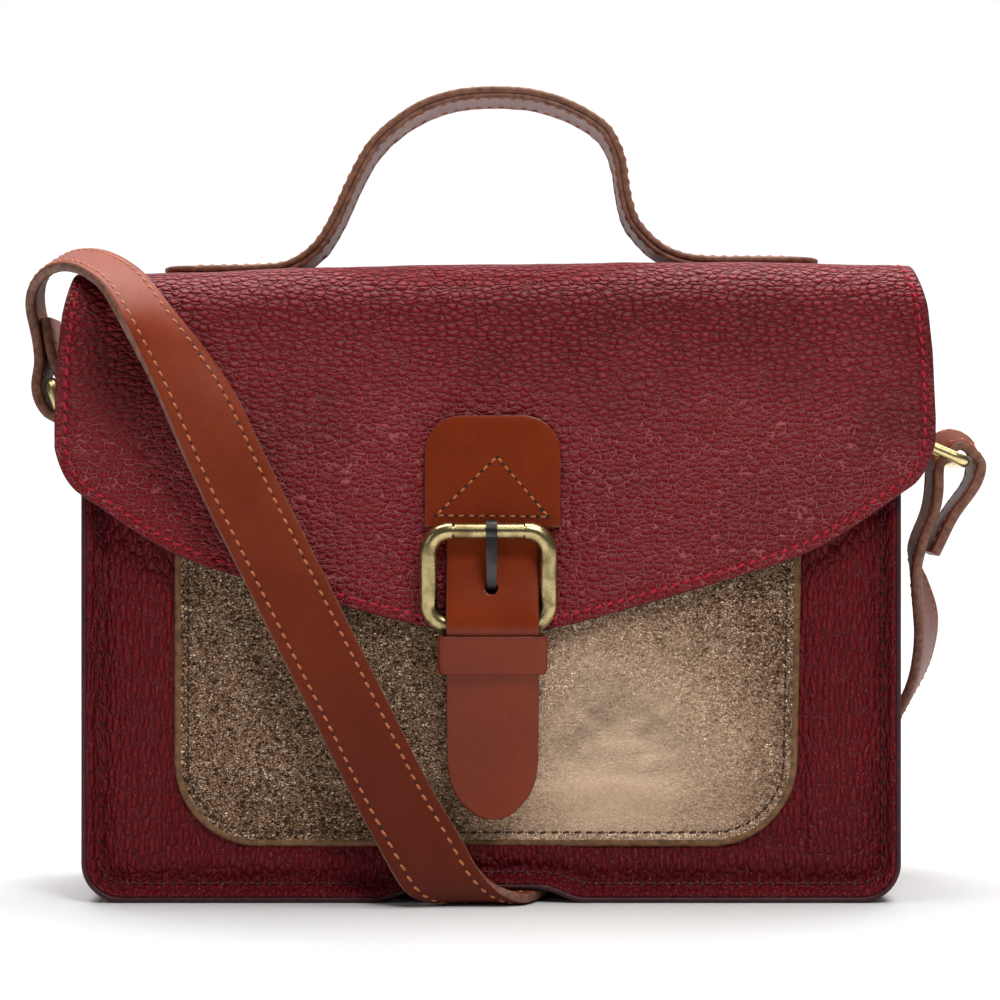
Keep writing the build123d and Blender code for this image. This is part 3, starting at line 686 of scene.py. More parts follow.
# ---- front pocket -----------------------------------------------------------------------
# The pocket's outline: left, right, bottom, top and the radius of its lower corners.
POCKET = (-97.0, 95.5, 16.7, 133.0, 26.0)
POCKET_SEAM = 4.2


def pocket_lean(x, z):
    """The pocket's right side leans out towards the mouth."""
    return x + (-2.2 + 3.0 * (z - POCKET[2]) / 158.3) * smooth(20, 95, x)


def pocket_face(x, d, z):
    """Depth of the pocket's face in front of the rear plane, at distance d from its edge."""
    xz = np.column_stack([x, 0 * x, z])
    hill = 33.95 + 4.3 * smooth(5.2, 22, d)
    seam = 0.35 * np.exp(-(d - POCKET_SEAM) ** 2)
    soft = 0.75 * rough(xz, 34, 31) + 0.34 * rough(xz, 12, 33) + 0.13 * rough(xz, 4.5, 35)
    soft = np.clip(soft - 0.25, -1.6, 0.45) * smooth(5, 16, d)
    rim = 0.12 * rough(xz, 5, 37) * smooth(1.7, 3.2, d)
    return hill - seam + soft * (1 - smooth(118, 130, z)) + rim


def pocket():
    insets = [1.8, 2.3, 2.8, 3.3, 3.8, 4.3, 4.8, 5.4, 6.2, 7.2, 8.5, 10, 11.6, 13.3, 15, 17, 19, 21, 23.4, 26]
    pts, quads = u_patch(*POCKET, insets, (84, 26, 130))
    x, d, z = pts.T
    sheet("pocket_leather", np.column_stack([pocket_lean(x, z), -pocket_face(x, d, z), z]), quads, 1.2, 0.1,
          [FOIL, FOIL_EDGE, LINING], "bag_body", "bronze_foil_leather", "front_pocket")


def pocket_edging():
    left, right, low, high, r = POCKET
    profile = [(-0.1, 32.3), (-0.15, 33.0), (0.1, 33.7), (0.55, 34.05), (1.1, 34.15), (1.65, 34.1),
               (2.1, 33.9), (2.1, 32.3)]
    count = len(profile)
    rows = [u_path(left, right, low, high - 0.3, r, d, (60, 24, 110)) for d, y in profile]
    m = len(rows[0])
    verts = np.vstack([np.column_stack([pocket_lean(*p.T), np.full(m, -y), p[:, 1]])
                       for p, (d, y) in zip(rows, profile)])
    verts[:, 1] += 0.08 * rough(verts, 4, 3)
    last = (count - 1) * m
    quads = grid_quads(count, m) + [(j, last + j, last + j + 1, j + 1) for j in range(m - 1)]
    quads += [tuple(i * m for i in range(count)), tuple(i * m + m - 1 for i in reversed(range(count)))]
    finish_piece(piece("pocket_edge_strip", verts, quads, [FOIL_EDGE]), "bag_body", "edge_paint",
                 "front_pocket_edging")


def pocket_stitches():
    left, right, low, high, r = POCKET
    p = u_path(left, right, low, high - 2, r, POCKET_SEAM, (90, 30, 130))
    y = pocket_face(p[:, 0], np.full(len(p), POCKET_SEAM), p[:, 1])
    pts = np.column_stack([pocket_lean(*p.T), -y, p[:, 1]])
    sewn("pocket_stitches", [stitches(pts, np.tile(FORWARD, (len(p), 1)), 3.5, radius=0.34, lift=0.16)],
         UMBER, "bag_body", "bronze_foil_leather")


# ---- flap -------------------------------------------------------------------------------
# The flap's outer face in profile goes up the rear strip, over the rear roll (S1 to S2), along the top, over
# the front roll (S3 to S4) and down. Its leather is made in two halves, which meet under the handle at S_MID.
REAR_R, FRONT_R = 7.5, 14.0
REAR_Y, FRONT_Y, TOP_Z = 35.6, -42.8, 195.0
STRIP_Z, ROLL_Z = 164.0, TOP_Z - FRONT_R
S1 = TOP_Z - REAR_R - STRIP_Z
S2 = S1 + REAR_R * math.pi / 2
S_MID = S2 + REAR_Y - REAR_R
S3 = S_MID - FRONT_Y - FRONT_R
S4 = S3 + FRONT_R * math.pi / 2
FLAP_HALF, FLAP_SEAM = 133.7, 3.1
# Half of the flap's width at distances along the profile.
HALF_AT = np.array([(0, 120.0), (16, 120.6), (S1, 121.6), (S2, 124.0), (S2 + 5, 125.6), (S2 + 14, 126.5),
                    (S3 - 14, 126.9), (S3, 127.6), (S3 + 11, 129.2), (S4, 131.4), (S4 + 13, 132.8),
                    (S4 + 33, FLAP_HALF), (S4 + 200, FLAP_HALF)])
EDGE_RIGHT = catmull([(FLAP_HALF, 152.0), (FLAP_HALF, 146.0), (132.9, 137.0), (129.1, 128.6), (121.7, 122.6),
                      (95.0, 106.0), (55.0, 93.4), (18.0, 83.6), (0.0, 82.4)], 16)
EDGE_RIGHT = EDGE_RIGHT[np.argsort(EDGE_RIGHT[:, 0])]
TILT = 0.008


def edge_z(x):
    """Height of the flap's lower edge; the flap hangs slightly lower on the left."""
    return np.interp(np.abs(x - FLAP_SHIFT), *EDGE_RIGHT.T) + TILT * x


def flap_profile(s):
    """Outer face (y, z) at distance s along the profile, and its normal."""
    s = np.asarray(s, float)
    rear, front = (np.clip((s - start) / r, 0, math.pi / 2) for start, r in ((S1, REAR_R), (S3, FRONT_R)))
    down = s > S3
    ny = np.where(down, -np.sin(front), np.cos(rear))
    nz = np.where(down, np.cos(front), np.sin(rear))
    y = REAR_Y - REAR_R + REAR_R * np.cos(rear) - np.clip(s - S2, 0, S3 - S2) - FRONT_R * np.sin(front)
    z = STRIP_Z + np.clip(s, 0, S1) + REAR_R * np.sin(rear) - FRONT_R * (1 - np.cos(front))
    z = z - np.maximum(s - S4, 0)
    return np.column_stack([y, z]), np.column_stack([ny, nz])


TOP_SAG = np.array([(-135, -2.7), (-112, -2.6), (-90, -2.1), (-60, -0.9), (-30, 0.0), (0, 0.4), (40, 0.9),
                    (75, 0.9), (105, 0.5), (135, -0.3)])


def top_sag(x):
    """The top lies a little lower on the left."""
    return np.interp(x, *TOP_SAG.T)


def flap_surface(x, s, depth, inset):
    """Points at (x, s), depth mm below the outer face; inset is the distance from the flap's edge."""
    p, n = flap_profile(s)
    flat = np.column_stack([x, p[:, 0], p[:, 1]])
    push = 0.30 * rough(flat, 30, 41) + 0.16 * rough(flat, 9, 43)
    push = np.minimum(push, 0.25) - 0.1
    push = push - 0.32 * np.exp(-((inset - FLAP_SEAM) / 1.1) ** 2) - 0.15 * np.exp(-(inset / 1.2) ** 2)
    push = push * smooth(8, S1, s) - depth
    y, z = p[:, 0] + n[:, 0] * push, p[:, 1] + n[:, 1] * push
    fade = smooth(150, 192, z) * smooth(4, S1, s)
    z = z + top_sag(x) * fade
    return np.column_stack([x, y, z])


def flap_half(s):
    """Half of the flap's width at s, and how far its middle stands to the right."""
    return np.interp(s, *HALF_AT.T), FLAP_SHIFT * (0.5 + 0.5 * smooth(S3, S4, s))


def flap_grid(s_from, s_to, depth, shrink):
    """Grid of (x, s) from one row to another, or to the lower edge when s_to is None."""
    mid = np.linspace(-0.9, 0.9, 150)
    ends = 0.9 + 0.1 * np.sin(np.linspace(0, math.pi / 2, 20))[1:]
    u = np.concatenate([-ends[::-1], mid, ends])
    if s_to is None:
        fixed = np.arange(s_from, S4 + 15, 1.35)
        x_end = u * (FLAP_HALF - shrink) + FLAP_SHIFT
        s_end = S4 + ROLL_Z - edge_z(x_end) - shrink
        v = np.linspace(0, 1, 58)[1:]
        rows = np.vstack([np.tile(fixed[:, None], (1, len(u))),
                          fixed[-1] + (s_end[None, :] - fixed[-1]) * v[:, None]])
    else:
        rows = np.tile(np.linspace(s_from, s_to, 52)[:, None], (1, len(u)))
    half, shift = flap_half(rows)
    half = half - shrink
    x = u[None, :] * half + shift
    side = half - np.abs(u[None, :]) * half
    lower = (ROLL_Z - (rows - S4) - edge_z(x)) * 0.9
    inset = np.minimum(side, np.maximum(lower, 0))
    return flap_surface(x.ravel(), rows.ravel(), depth, inset.ravel()), *rows.shape


# Points about either end of the flap's front roll, and of its rear one.
FRONT_BEND = (place(0, -26.8, TOP_Z), place(0, FRONT_Y, ROLL_Z))
REAR_BEND = (place(0, REAR_Y, 183.5), place(0, REAR_Y - REAR_R, TOP_Z))


def bend_flap(obj, front, *nodes):
    """Finishes a piece of the flap that lies over its front roll, or else over its rear one, with that roll's
    two points as its ends.
    """
    pair = ("flap_upper", "flap_lower") if front else ("bag_body", "flap_upper")
    finish_piece(obj, pair, "burgundy_leather", *nodes, ends=FRONT_BEND if front else REAR_BEND)


def flap_layer(name, depth, t, shrink, materials, bulge, rear_nodes, front_nodes):
    """One layer of the flap, t mm thick, in two halves with square edges where they meet."""
    for front, nodes in ((False, rear_nodes), (True, front_nodes)):
        pts, rows, cols = flap_grid(*((S_MID, None) if front else (0.0, S_MID)), depth, shrink)
        met = np.arange(rows * cols) // cols == (0 if front else rows - 1)
        v, f, k = thick(pts, grid_quads(rows, cols, flip=True), t, bulge, met)
        bend_flap(piece(f"{name}_{'front' if front else 'rear'}", v, f, materials, k), front, *nodes)


def flap_seam():
    """(x, s) of the sewn line inside the flap's edge."""
    s = np.linspace(8, S4 + 30, 200)
    half, shift = flap_half(s)
    x = np.linspace(0, FLAP_HALF, 900)
    low = np.column_stack([x, np.interp(x, *EDGE_RIGHT.T)])
    d = unit(np.gradient(low, axis=0))
    off = low + np.column_stack([-d[:, 1], d[:, 0]]) * FLAP_SEAM
    off = off[(off[:, 0] >= 0) & (off[:, 0] < FLAP_HALF - FLAP_SEAM) & (off[:, 1] < 151)][::-1]
    left, right = (np.vstack([
        np.column_stack([side * (half - FLAP_SEAM) + shift, s]),
        np.column_stack([side * off[:, 0] + FLAP_SHIFT, S4 + ROLL_Z - off[:, 1] - side * TILT * off[:, 0]])])
        for side in (-1, 1))
    return np.vstack([left, right[::-1][1:]])


def flap_stitches():
    line = flap_seam()
    pts = flap_surface(line[:, 0], line[:, 1], 0.0, np.full(len(line), FLAP_SEAM))
    n = flap_profile(line[:, 1])[1]
    normals = np.column_stack([np.zeros(len(line)), n[:, 0], n[:, 1]])
    cut = np.where(np.diff((line[:, 1] > S_MID).astype(int)) != 0)[0] + 1
    for label, span in (("rear_left", slice(0, cut[0])), ("front", slice(cut[0], cut[1])),
                        ("rear_right", slice(cut[1], None))):
        v, f, k = stitches(pts[span], normals[span], 3.45, radius=0.42, slant=12, lift=0.16)
        bend_flap(piece(f"flap_stitches_{label}", v, f, [CRIMSON, HOLE_SHADE], k), label == "front")


# ---- straps and tabs --------------------------------------------------------------------
def strip(path, across, out, half, skin):
    """Flat strip along a path, its edges dropping a little. out points away from its outer face; skin mm lie
    above it."""
    c = np.linspace(-1, 1, STRIP_COLUMNS)
    c = (np.sign(c) * (1 - (1 - np.abs(c)) ** 1.3))[None, :, None]
    pts = path[:, None, :] + across[:, None, :] * (c * half[:, None, None])
    pts = pts - out[:, None, :] * (skin + 0.3 * np.abs(c) ** 3)
    return pts.reshape(-1, 3), grid_quads(len(path), STRIP_COLUMNS)


STRIP_COLUMNS = 15
# The handle's outer line (x, z), end to end.
HANDLE = [(-100.9, 196.5), (-84, 196.7), (-68, 197.3), (-61.5, 199.4), (-55.9, 203.9), (-51.6, 210.4),
          (-48.6, 216.7), (-45.8, 223.0), (-42.6, 229.3), (-38.7, 235.5), (-32.3, 241.8), (-22.9, 248.0),
          (-12.0, 251.7), (0, 252.8), (13.5, 251.9), (25.9, 248.0), (36.0, 241.8), (40.3, 235.5),
          (42.4, 229.3), (43.3, 223.0), (44.5, 216.7), (47.0, 210.4), (53.3, 203.9), (60.5, 200.6),
          (69, 199.6), (84, 199.5), (100.9, 199.3)]
TAB_Y, TAB_R = -44.6, 11.5
TAB_TRIANGLE = [(-16.7, 118.0), (1.8, 135.8), (17.3, 117.6)]
HANDLE_HALF, HANDLE_END_R, HANDLE_SKIN_T, HANDLE_UNDER_T = 13.0, 9.0, 2.1, 1.5


def handle():
    p = catmull(HANDLE, 7)
    p = p + np.column_stack([np.sign(p[:, 0]) * 2.3 * smooth(60, 100, np.abs(p[:, 0])), np.zeros(len(p))])
    path = np.column_stack([p[:, 0], np.zeros(len(p)), p[:, 1]])
    t = unit(np.gradient(path, axis=0))
    across = np.tile(FORWARD, (len(p), 1))
    out = np.cross(across, t)
    s = lengths(path)
    end = np.minimum(s, s[-1] - s)
    round_end = np.sqrt(np.maximum(HANDLE_END_R ** 2 - (HANDLE_END_R - end) ** 2, 0))
    half = np.where(end < HANDLE_END_R, HANDLE_HALF - HANDLE_END_R + round_end, HANDLE_HALF)
    outs = np.repeat(out, STRIP_COLUMNS, axis=0)
    v, q = strip(path, across, out, half, 0)
    sheet("handle_outer_leather", v + 0.10 * rough(v, 6, 51)[:, None] * outs, q, HANDLE_SKIN_T - 0.05, 0.5,
          [HANDLE_SKIN, BROWN_EDGE, HANDLE_SKIN], "flap_upper", "tan_leather", "handle_upper")
    v, q = strip(path, across, out, half - 0.25, HANDLE_SKIN_T)
    bend = np.abs(np.gradient(np.unwrap(np.arctan2(t[:, 2], t[:, 0])))) / np.gradient(s)
    crease = np.repeat(smooth(0.005, 0.03, bend), STRIP_COLUMNS)
    fold = rough(v, 3.2, 53, (1, 0.25, 1)) * crease * 0.35 + 0.08 * rough(v, 2.0, 57)
    count = len(v)
    # An unwelded sheet, so that its underside is points count to 2 * count, which the folds lift.
    v, f, k = thick(v, q, HANDLE_UNDER_T, 0.4, np.zeros(count, bool))
    v[count:2 * count] += outs * fold[:, None]
    lower = piece("handle_inner_leather", v, f, [HANDLE_UNDER, BROWN_EDGE, HANDLE_UNDER], k)
    finish_piece(lower, "flap_upper", "handle_lining_leather", "handle_lining")
    rows = []
    for side in (-1, 1):
        edge = path + across * (side * (half - 3.0))[:, None]
        rows.append(stitches(edge[4:-4] - out[4:-4] * 0.12, out[4:-4], 3.6, lift=0.12))
        low = edge[26:-26] - out[26:-26] * (HANDLE_SKIN_T + HANDLE_UNDER_T + 0.12)
        rows.append(stitches(low, -out[26:-26], 3.6, radius=0.34, lift=0.1))
    sewn("handle_stitches", rows, TAN, "flap_upper", "tan_leather")


def buckle_tab():
    lo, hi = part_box("buckle_tab")
    left, right, low, high = lo.x / MM + ORIGIN[0], hi.x / MM + ORIGIN[0], lo.z / MM, hi.z / MM
    insets = [0.3, 0.6, 1.0, 1.5, 2.1, 3.0, 4.2, 5.6, 7.2, 9.2, TAB_R]
    pts, quads = u_patch(left, right, low, high, TAB_R, insets, (24, 14, 20), flip=True)
    x, d, z = pts.T
    y = TAB_Y + 0.28 * np.exp(-(d / 0.9) ** 2) + 0.12 * rough(np.column_stack([x, 0 * x, z]), 14, 61)
    sheet("buckle_tab_leather", np.column_stack([x, y, low + high - z]), quads, 1.75, 0.3, TAB_LEATHER,
          "flap_lower", "tan_leather", "buckle_tab")
    rows = []
    for (x0, z0), (x1, z1) in zip(TAB_TRIANGLE, TAB_TRIANGLE[1:] + TAB_TRIANGLE[:1]):
        line = [(x0 + (x1 - x0) * u, TAB_Y - 0.02, z0 + (z1 - z0) * u) for u in np.linspace(0, 1, 12)]
        rows.append(stitches(line, [FORWARD] * 12, 2.9, fill=0.66, radius=0.34, slant=4, lift=0.1, hole=1.9))
    sewn("buckle_tab_stitches", rows, TAN, "flap_lower", "tan_leather")


# The tongue's face in profile (y, z), from under the tab down to its tip, and half its width at heights.
TONGUE = [(-44.6, 114.2), (-44.7, 110.5), (-45.3, 105.0), (-46.4, 100.0), (-47.5, 96.0), (-48.8, 91.5),
          (-49.8, 87.0), (-49.9, 83.6), (-49.1, 80.5), (-47.9, 75.5), (-46.7, 70.5), (-45.2, 64.0),
          (-43.8, 56.0), (-42.6, 46.0), (-41.8, 35.0), (-41.5, 22.0)]
TONGUE_HALF = np.array([(25.5, 0.6), (25.8, 2.2), (26.3, 3.8), (27.6, 5.9), (30.6, 9.2), (33.6, 11.3),
                        (37.5, 12.9), (43, 13.6), (60, 13.75)])
TONGUE_X, TONGUE_TIP_Z, TONGUE_COLUMNS = 0.45, 25.55, 46
HOLE_X, HOLE_Z, HOLE_R = 0.2, 96.3, 2.1


def tongue():
    p = catmull(TONGUE, 24)
    p = p[p[:, 1] > TONGUE_TIP_Z]
    s = lengths(p)
    start = s[-1] - 18
    tip = start + 18 * np.sin(np.linspace(0, math.pi / 2, 34))
    rows = np.concatenate([np.linspace(0, start, 110), tip[1:]])
    y, z = (np.interp(rows, s, way)[:, None] for way in p.T)
    half = np.interp(z, *TONGUE_HALF.T)
    c = np.linspace(-1, 1, TONGUE_COLUMNS)[None, :]
    inset = half * (1 - np.abs(c))
    pts = np.stack([TONGUE_X + half * c, y + 0.22 * np.exp(-(inset / 0.9) ** 2), z + 0 * c], -1)
    pts = pts.reshape(-1, 3)
    pts[:, 1] += 0.10 * rough(pts, 15, 71)
    away = np.hypot(pts[:, 0] - HOLE_X, pts[:, 2] - HOLE_Z)
    kept = [q for q in grid_quads(len(rows), TONGUE_COLUMNS, flip=True)
            if away[list(q)].mean() > HOLE_R * 0.92]
    order = sorted({i for q in kept for i in q})
    near = np.array([i for i in order if away[i] < HOLE_R + 0.35])
    scale = HOLE_R / np.maximum(away[near], 0.2)
    pts[near, 0] = HOLE_X + (pts[near, 0] - HOLE_X) * scale
    pts[near, 2] = HOLE_Z + (pts[near, 2] - HOLE_Z) * scale
    index = {v: k for k, v in enumerate(order)}
    kept = [tuple(index[i] for i in q) for q in kept]
    sheet("tongue_leather", pts[order], kept, 1.75, 0.35, TAB_LEATHER, "flap_lower", "tan_leather",
          "tongue_strap")


def keeper():
    """Loop round the tongue, its flat front leaning with it."""
    w, h, r = 33.2 / 2, 5.4 / 2, 2.2
    ring = np.array([(cx * (w - r) + r * math.cos(a), cz * (h - r) + r * math.sin(a))
                     for cx, cz, a0 in ((1, 1, 0), (-1, 1, 90), (-1, -1, 180), (1, -1, 270))
                     for a in np.radians(np.linspace(a0, a0 + 90, 9))])
    dense = []
    for a, b in zip(ring, np.roll(ring, -1, axis=0)):
        n = max(int(np.linalg.norm(b - a) / 1.2), 1)
        dense += [a + (b - a) * k / n for k in range(n)]
    ring = np.array(dense)
    heights = [-5.7, -5.45, -5.0, -4.2, -3, -1.5, 0, 1.5, 3, 4.2, 5.0, 5.45, 5.7]
    pts = np.vstack([np.column_stack([ring * (1 - 0.022 * smooth(4.6, 5.7, abs(v))), np.full(len(ring), v)])
                     for v in heights])
    pts[:, 1] += 0.12 * rough(pts, 12, 81)
    x, y, z = pts.T
    lean = math.radians(13.6)
    verts = np.column_stack([x + TONGUE_X, -47.2 + y * math.cos(lean) - z * math.sin(lean),
                             76.3 + y * math.sin(lean) + z * math.cos(lean)])
    sheet("keeper_leather", verts, grid_quads(len(heights), len(ring), wrap=True), 1.4, 0.3, TAB_LEATHER,
          "flap_lower", "tan_leather", "keeper")


# ---- shoulder strap ---------------------------------------------------------------------
# Stations along the strap, from its left end to its right: centre, and the way that its outer face looks.
STRAP = [
    ((-140.2, 0.0, 180.0), (1, 0, 0.2)), ((-138.4, 0.0, 169.7), (1, 0, 0.3)),
    ((-136.6, 0.0, 164.0), (1, 0, 0.45)), ((-133.4, 0.0, 158.0), (1, 0, 0.45)),
    ((-131.8, 0.0, 153.0), (1, 0, 0)), ((-133.2, 0.0, 149.6), (0.5, 0, -0.8)),
    ((-137.6, 0.0, 148.8), (-0.3, 0, -1)), ((-141.6, 0.0, 152.2), (-0.8, 0, -0.5)),
    ((-143.4, 0.0, 160.0), (-1, 0, 0)), ((-142.6, 0.0, 165.0), (-1, 0, 0.1)),
    ((-142.6, 0.0, 169.0), (-1, 0, 0)), ((-143.5, -1.4, 176.5), (-1, 0, -0.2)),
    ((-144.8, -3.6, 184.9), (-1, 0.03, 0.02)), ((-143.0, -7.8, 191.5), (-0.84, 0.16, 0.5)),
    ((-137.4, -14.2, 195.8), (-0.43, 0.15, 0.9)), ((-130.7, -21.8, 197.4), (-0.21, -0.13, 0.95)),
    ((-124.8, -28.2, 196.7), (-0.02, -0.16, 0.98)), ((-118.3, -37.0, 193.9), (0.16, -0.3, 0.94)),
    ((-111.3, -45.5, 188.8), (0.16, -0.74, 0.66)), ((-103.8, -52.0, 178.7), (0.18, -0.95, 0.2)),
    ((-97.2, -51.4, 168.8), (0.22, -0.97, 0.11)), ((-86.2, -50.5, 149.1), (0.22, -0.97, 0.11)),
    ((-78.0, -48.9, 131.0), (0.21, -0.97, 0.11)), ((-68.2, -48.0, 111.0), (0.21, -0.97, 0.11)),
    ((-58.3, -47.6, 91.0), (0.2, -0.98, 0.1)), ((-48.3, -47.2, 71.0), (0.18, -0.98, 0.09)),
    ((-38.3, -46.9, 51.0), (0.16, -0.98, 0.08)), ((-28.2, -46.8, 31.0), (0.13, -0.99, 0.06)),
    ((-19.0, -47.2, 14.8), (0.06, -1, 0.02)), ((-13.5, -46.8, 6.7), (0, -1, -0.1)),
    ((-7.5, -44.6, 3.1), (0, -0.71, -0.71)), ((-2.0, -40.5, 1.9), (0, -0.05, -1)),
    ((2.2, -34.0, 1.8), (0, 0, -1)), ((10.0, 0.0, 1.75), (0, 0, -1)), ((21.0, 32.0, 1.75), (0, 0, -1)),
    ((34.0, 55.0, 1.9), (0, 0, -1)), ((66.0, 66.0, 4.0), (0.05, 0.1, -1)),
    ((98.0, 63.0, 14.0), (0.4, 0.15, -0.9)), ((123.5, 55.0, 34.0), (0.75, 0.1, -0.6)),
    ((138.0, 39.0, 57.0), (0.9, -0.3, -0.3)), ((141.0, 19.0, 77.0), (0.86, -0.5, 0)),
    ((137.5, 6.5, 92.0), (0.96, -0.25, 0.05)), ((135.0, 1.5, 103.0), (1, -0.05, -0.1)),
    ((136.4, 0.0, 110.5), (1, 0, -0.3)), ((139.6, 0.0, 118.8), (1, 0, -0.2)),
    ((140.9, 0.0, 126.0), (1, 0, 0)), ((141.2, 0.0, 133.4), (1, 0, 0)),
    ((142.6, 0.0, 138.6), (0.8, 0.2, -0.5)),
    ((147.2, 0.0, 141.8), (0, 0.2, -1)), ((151.8, 0.0, 139.6), (-0.75, 0.2, -0.7)),
    ((153.8, 0.0, 134.2), (-1, 0, 0)), ((153.0, 0.0, 129.2), (-1, 0, 0.2)),
    ((149.8, 0.0, 124.0), (-0.9, 0, 0.6)), ((146.0, 0.0, 118.8), (-0.85, 0, 0.5)),
    ((141.6, 0.0, 110.4), (-0.9, 0, 0.4)), ((139.4, 0.0, 105.8), (-0.9, 0, 0.4)),
]
# From the strap's middle towards its left edge, in half widths, where it twists over the flap's corner and at
# its foot. Elsewhere the edges follow from the stations.
TWIST = {
    11: (0, -0.991, -0.08), 12: (0.013, -0.973, -0.15), 13: (0, -0.951, -0.239), 14: (-0.084, -0.951, -0.239),
    15: (-0.142, -0.907, -0.274), 16: (-0.252, -0.863, -0.283), 17: (-0.345, -0.796, -0.27),
    18: (-0.434, -0.752, -0.239), 19: (-0.5, -0.708, -0.288), 20: (-0.677, -0.544, -0.288),
    21: (-0.827, -0.398, -0.416), 22: (-0.871, -0.225, -0.436), 23: (-0.88, -0.174, -0.44),
    24: (-0.883, -0.156, -0.441), 25: (-0.885, -0.139, -0.443), 26: (-0.885, -0.139, -0.443),
    27: (-0.887, -0.122, -0.444), 28: (-0.942, -0.155, -0.394), 29: (-0.965, -0.022, -0.288),
    30: (-0.973, 0.146, -0.131), 31: (-1.018, 0.31, -0.013), 32: (-0.996, 0.354, 0),
}
MARKS, strap_at = spline([p for p, n in STRAP])
ALONG = strap_at(MARKS)[1]
SIDES = unit(np.cross(ALONG, np.array([n for p, n in STRAP], float)))
for station, vector in TWIST.items():
    SIDES[station] = vector
# The strap's face in section (across, out), from edge to edge, with a groove under each row of stitches.
STITCH_AT = 7.9
HALF_FACE = [(0, 1.5), (3.0, 1.5), (6.0, 1.46), (7.2, 1.36), (STITCH_AT, 1.24), (8.5, 1.36), (9.4, 1.42),
             (10.4, 1.38), (11.0, 1.15), (11.3, 0.6), (11.3, -0.78)]
FACE = [(-a, b) for a, b in HALF_FACE[:0:-1]] + HALF_FACE
SECTION = np.array([(a, min(b, 1.45)) for a, b in FACE] + [(-a, max(-1.3 * b, -1.8)) for a, b in FACE[2:-2]])


def strap_frames(a, b, spacing=1.15):
    """Centre points, half-width vectors and outward directions between two stations."""
    count = int((MARKS[b] - MARKS[a]) / spacing)
    p, t, station = strap_at(np.linspace(MARKS[a], MARKS[b], count + 1))
    last = len(STRAP) - 1
    k = np.clip(station.astype(int), 0, last - 1)
    f = (station - k)[:, None]
    v0, v1, v2, v3 = (SIDES[np.clip(k + i, 0, last)] for i in (-1, 0, 1, 2))
    across = v1 * (2 * f ** 3 - 3 * f ** 2 + 1) + (v2 - v0) / 2 * (f ** 3 - 2 * f ** 2 + f) \
        + v2 * (3 * f ** 2 - 2 * f ** 3) + (v3 - v1) / 2 * (f ** 3 - f ** 2)
    return p, across, unit(np.cross(across, t))


def strap_run(name, a, b, body, ends, *nodes, trim=0):
    """The strap from one station to another, with its four rows of stitches, trim points shorter."""
    p, across, out = strap_frames(a, b)
    m = len(SECTION)
    verts = (p[:, None, :] + across[:, None, :] * SECTION[:, 0, None] + out[:, None, :] * SECTION[:, 1, None])
    verts = verts.reshape(-1, 3)
    verts = verts + np.repeat(out, m, axis=0) * (0.07 * rough(verts, 11, 91))[:, None]
    verts[:, 2] = np.maximum(verts[:, 2], 0.1)
    edge = {j for j in range(m) if abs(SECTION[j][0]) > 10.9 and abs(SECTION[(j + 1) % m][0]) > 10.9}
    kinds = [1 if j in edge else 2 if j >= len(FACE) - 1 else 0 for j in range(m)] * (len(p) - 1) + [1, 1]
    obj = piece(name, verts, tube_faces(len(p), m), [COGNAC, STRAP_EDGE, STRAP_BACK], kinds, sharp=60)
    finish_piece(obj, body, "tan_leather", *nodes, ends=ends)
    kept = slice(trim, len(p) - trim)
    rows = []
    for side in (-STITCH_AT, STITCH_AT):
        for face, high in ((1, 1.26), (-1, -1.62)):
            line = p + across * side + out * high
            line[:, 2] = np.maximum(line[:, 2], 0.2)
            rows.append(stitches(line[kept], out[kept] * face, 3.45, fill=0.7, radius=0.42, slant=9 * face))
    sewn(name + "_stitches", rows, TAN, body, "tan_leather", ends)


def shoulder_strap():
    corner, crest, front, foot = (place(*STRAP[k][0]) for k in (12, 14, 27, 29))
    left_bend = place(-140, 0, 182), place(-140, 0, 160)
    right_bend = place(140, 0, 112), place(140, 0, 136)
    strap_run("strap_left_loop", 0, 12, ("bag_body", "left_ring"), left_bend, "shoulder_strap_end", trim=2)
    strap_run("strap_over_corner", 12, 15, ("bag_body", "strap_run"), (corner, crest))
    strap_run("strap_across_front", 15, 27, "strap_run", None, "shoulder_strap_front")
    strap_run("strap_front_foot", 27, 29, ("strap_run", "bag_body"), (front, foot))
    strap_run("strap_under_and_behind", 29, 43, "bag_body", None, "shoulder_strap_back")
    strap_run("strap_right_loop", 43, 55, ("bag_body", "right_ring"), right_bend, trim=2)


# ---- metal and small parts --------------------------------------------------------------
for side in (-1, 1):
    body_panel(side)
gusset()
for side in (-1, 1):
    body_stitches(side)
lining()
pocket()
pocket_edging()
pocket_stitches()
flap_layer("flap_leather", 0.0, 1.6, 0.35, [FLAP_SKIN, RED_EDGE, FLAP_SKIN], 0.35,
           ("flap_top", "flap_hinge_strip"), ("flap_front",))
flap_layer("flap_underside", 1.6, 0.95, 0.6, [FLAP_UNDER, RED_EDGE, FLAP_UNDER], 0.3,
           ("flap_top_lining",), ("flap_front_lining",))
flap_stitches()
handle()
buckle_tab()
tongue()
keeper()
shoulder_strap()

for node, skin in (("buckle_frame", ANTIQUE), ("buckle_roller", ANTIQUE), ("buckle_prong", GUNMETAL),
                   ("ring_left", PALE), ("ring_right", PALE), ("snap_socket", PALE), ("snap_stud", PALE),
                   ("ring_tab_left", RING_TAB_SKIN), ("ring_tab_right", RING_TAB_SKIN),
                   ("base_board", BOARD)):
    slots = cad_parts[node].data.materials
    slots.clear()
    slots.append(skin)
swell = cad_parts["buckle_frame"].modifiers.new("fuller_bars", "DISPLACE")
swell.strength, swell.mid_level = 0.45 * MM, 0.0


